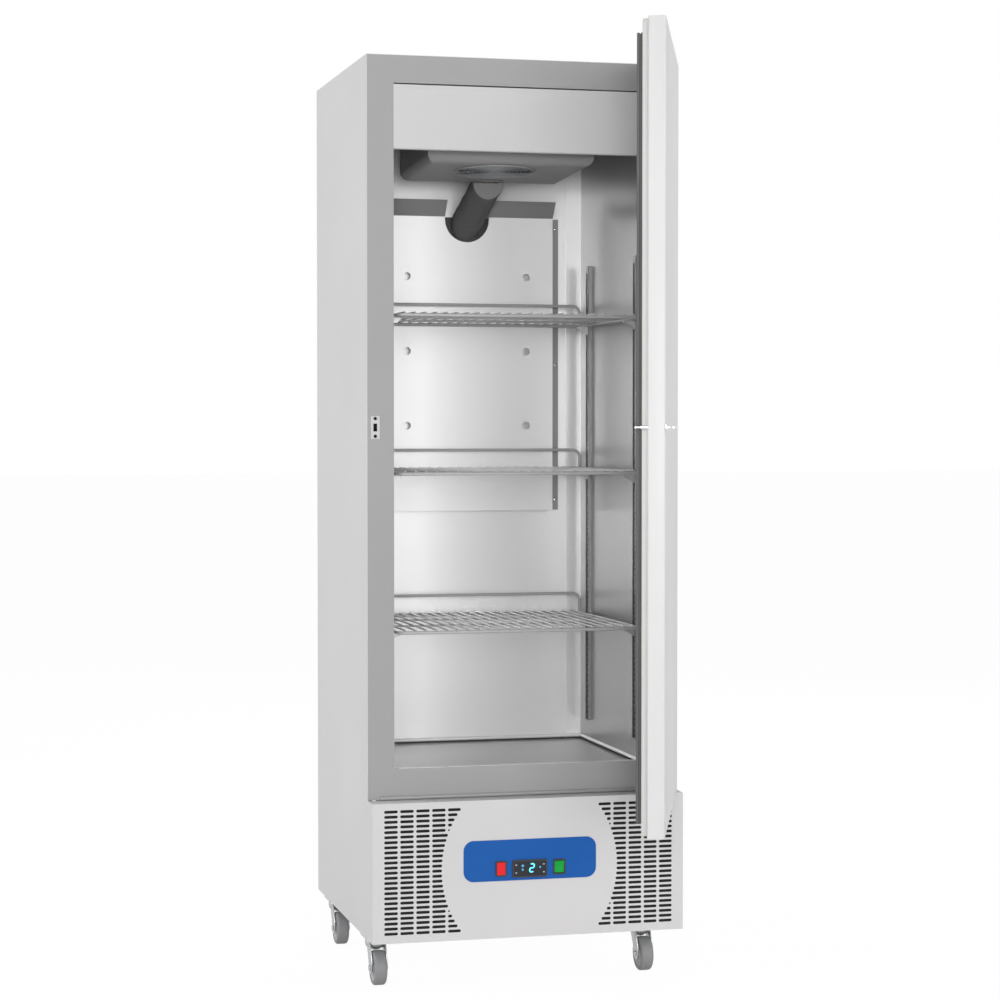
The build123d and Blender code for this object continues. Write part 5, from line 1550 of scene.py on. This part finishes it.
@dataclass
class Fixings:
    """The screws, the strike plate, the hinge brackets and the castors' plates."""

    head_radius: float = 3.2
    head_high: float = 1.4
    strike_at: Flat = (-329.7, 1204.6)
    strike_slot: Flat = (8.2, 16.9)
    pocket_y: Flat = (-303.3, -289.7)
    pocket_wall: Flat = (-0.12, 0.15)

    def build(self) -> None:
        """Draws the screws and dresses the rest."""
        keep(ZINC_PLATED, "hinge_brackets", "castor_mounts")
        keep(FASCIA_ENAMEL, "strike_plate")
        self.screws()
        self.strike()

    def strike(self) -> None:
        """The black lining in the strike's slot and dark discs over its two screws, all painted shade."""
        x, z = self.strike_at
        half_x, half_z = (size / 2 for size in self.strike_slot)
        front, back = self.pocket_y
        # A black lining inside the strike's slot: painted shade in the pocket.
        lining = Sketch().box(put(x - half_x, back - 0.6, z - half_z), put(x + half_x, back, z + half_z))
        for side in (-1, 1):
            near, far = (x + side * (half_x + step) for step in self.pocket_wall)
            lining.box(put(near, front, z - half_z), put(far, back, z + half_z))
            near, far = (z + side * (half_z + step) for step in self.pocket_wall)
            lining.box(put(x - half_x, front, near), put(x + half_x, back, far))
        lining.piece("strike_pocket", PAINTED_SHADE_BLACK, slot="zinc")
        # Dark discs just proud of the two screw heads: painted shade over them.
        outline = [(0.0, 0.0008), (0.0036, 0.0008), (0.0036, 0.00152), (0.0028, 0.0016), (0.0, 0.0016)]
        sockets = Sketch()
        for spot in self.strike_screws():
            sockets.spun(outline, Matrix.Translation(spot) @ FACING_FRONT, 20)
        sockets.piece("strike_sockets", PAINTED_SHADE_BLACK, slot="zinc")

    @staticmethod
    def strike_screws() -> list[Point]:
        """Where the heads of the strike's two screws meet it, in metres."""
        return [put(-329.9, -305.5, z) for z in (1185.7, 1223.5)]

    def places(self) -> list[Point]:
        """Where each screw's head meets its sheet, in metres."""
        duct = [put(x, 250.8, z) for x in (-224, 224) for z in (1030.7, 1355, 1681)]
        return duct + self.strike_screws() + [put(x, -306, z) for x in (265, 283) for z in (417, 1987)]

    def screws(self) -> None:
        """One domed head, with a dark cross of painted shade for its slot, copied to every place by
        geometry nodes.
        """
        radius, high = self.head_radius * MM, self.head_high * MM
        outline = [(0.0, -0.004), (radius * 0.45, -0.004), (radius * 0.45, 0.0), (radius, 0.0)]
        outline += [(radius * 0.97, high * 0.45), (radius * 0.72, high * 0.85)]
        outline += [(radius * 0.3, high), (0.0, high)]
        head = Sketch().spun(outline, FACING_FRONT, 20).done("screw_head")
        # The slot is not cut: a dark cross set just proud of the head is painted shade for it.
        cross = Sketch()
        for x, z in ((0.42, 0.09), (0.09, 0.42)):
            cross.box((-radius * x, -high * 1.01, -radius * z), (radius * x, -high * 0.6, radius * z))
        slot = cross.done("screw_slot")
        for shape, finish, name, nodes in (
            (head, CHROMED, "panel_screw_heads", ["panel_screws"]),
            (slot, SHADOW_LINE, "panel_screw_slots", []),
        ):
            points = bpy.data.meshes.new(f"{name}_places")
            points.from_pydata(self.places(), [], [])
            piece = copies_on_points(shape, finish.material()).apply(name, {}, points)
            smooth(piece, 40)
            dress(piece, finish, *nodes, slot="" if nodes else "zinc")
        for shape in (head, slot):
            bpy.data.objects.remove(shape)


@dataclass
class Studio:
    """The camera at the photograph's angle, the pale floor, the lamps and the white surround."""

    ambient: float = 0.36
    camera_at: Point = (-1.37204, -5.16304, 1.20338)
    yaw: float = -14.26
    pitch: float = -1.67
    lens: float = 88.89
    floor_half: float = 60.0
    floor_glow: float = 1.02
    floor_share: float = 0.95

    def build(self) -> None:
        """Sets up the scene that the object stands in."""
        scene = bpy.context.scene
        scene.view_settings.view_transform = "Standard"
        self.camera(scene)
        self.floor()
        self.world(scene)
        self.lamp("key", (-3.2, -4.6, 3.6), (0.0, 0.2, 1.0), 3.0, 18.0)
        self.lamp("left", (-5.0, 0.9, 2.2), (0.0, 0.3, 1.0), 3.0, 105.0)
        self.lamp("front", (-0.25, -6.2, 1.5), (0.0, 0.5, 1.1), 2.4, 95.0)
        self.lamp("beside", (-1.75, -6.4, 1.6), (0.0, 0.5, 1.1), 1.4, 145.0)
        self.lamp("right", (4.6, -1.5, 2.6), (0.2, 0.2, 1.0), 2.5, 66.0)
        self.lamp("back", (2.4, 5.0, 3.0), (0.0, 0.4, 1.0), 3.0, 80.0)

    def camera(self, scene: bpy.types.Scene) -> None:
        """The camera, in front of the cabinet, to its left and a little above its middle.

        Args:
            scene: The scene that looks through it.
        """
        data = bpy.data.cameras.new("camera")
        data.lens = self.lens
        data.sensor_width = 36.0
        data.clip_end = 200.0
        camera = add_object("camera", data)
        camera.location = self.camera_at
        camera.rotation_euler = (math.radians(90 + self.pitch), 0.0, math.radians(self.yaw))
        scene.camera = camera

    def lamp(self, name: str, place: Point, aim: Point, size: float, power: float) -> None:
        """One large soft lamp; the one at the back leaves no reflection.

        Args:
            name: The lamp's name.
            place: Where it stands.
            aim: The point that it faces.
            size: The length of its sides.
            power: Its power in watts.
        """
        data = bpy.data.lights.new(name, "AREA")
        data.shape = "SQUARE"
        data.size = size
        data.energy = power
        lamp = add_object(name, data)
        lamp.location = place
        lamp.visible_glossy = name != "back"
        lamp.rotation_euler = (Vector(aim) - Vector(place)).to_track_quat("-Z", "Y").to_euler()

    @staticmethod
    def seen(tree: bpy.types.NodeTree) -> bpy.types.NodeSocket:
        """A value of one for rays from the camera, or off or through something, else nought.

        Args:
            tree: The tree that uses it.

        Returns:
            The value's socket.
        """
        path = tree.nodes.new("ShaderNodeLightPath")
        total = path.outputs["Is Camera Ray"]
        for name in ("Is Glossy Ray", "Is Transmission Ray"):
            either = add_node(
                tree, "ShaderNodeMath", {0: total, 1: path.outputs[name]}, operation="MAXIMUM"
            )
            total = either.outputs[0]
        return total

    def floor(self) -> None:
        """A wide pale floor that shows white and keeps the object's shadow."""
        sketch = Sketch()
        corners = rectangle((0.0, 0.0), (2 * self.floor_half, 2 * self.floor_half))
        sketch.mesh.faces.new(sketch.ring([(x, y, 0.0) for x, y in corners]))
        floor = sketch.done("floor")
        material = bpy.data.materials.new("pale_floor")
        material.use_nodes = True
        tree = material.node_tree
        paint = {"Base Color": (0.70, 0.70, 0.70, 1.0), "Roughness": 0.9}
        shader = fill(tree, tree.nodes["Principled BSDF"], paint)
        glow = add_node(tree, "ShaderNodeEmission", {"Strength": self.floor_glow})
        share = add_node(
            tree, "ShaderNodeMath", {0: self.seen(tree), 1: self.floor_share}, operation="MULTIPLY"
        )
        mix = add_node(tree, "ShaderNodeMixShader", {
            0: share.outputs[0], 1: shader.outputs[0], 2: glow.outputs[0],
        })
        fill(tree, tree.nodes["Material Output"], {0: mix.outputs[0]})
        floor.data.materials.append(material)

    def world(self, scene: bpy.types.Scene) -> None:
        """A white surround to look at, which lights the object more softly.

        Args:
            scene: The scene that it surrounds.
        """
        world = scene.world or bpy.data.worlds.new("surround")
        scene.world = world
        world.use_nodes = True
        tree = world.node_tree
        strength = add_node(
            tree, "ShaderNodeMapRange", {"To Min": self.ambient, "Value": self.seen(tree)}
        )
        fill(tree, tree.nodes["Background"], {
            "Color": STUDIO_WHITE, "Strength": strength.outputs["Result"],
        })


def main() -> None:
    """Builds the studio and every sub-assembly in order."""
    logging.basicConfig(level=logging.INFO, format="%(message)s")
    for assembly in (Studio(), CabinetShell(), StorageSpace(), Pipework()):
        assembly.build()
    bars = row_of_bars(COATED_WIRE.material())
    for node in ("shelf_bottom", "shelf_middle", "shelf_top"):
        WireShelf(node).build(bars)
    for assembly in (Door(), Base(), Controls()):
        assembly.build()
    for row, y in (("front", -252), ("rear", 188)):
        for side, x in (("left", -320), ("right", 280)):
            Castor(f"{row}_{side}", (x, y)).build()
    Fixings().build()


if __name__ == "__main__":
    main()
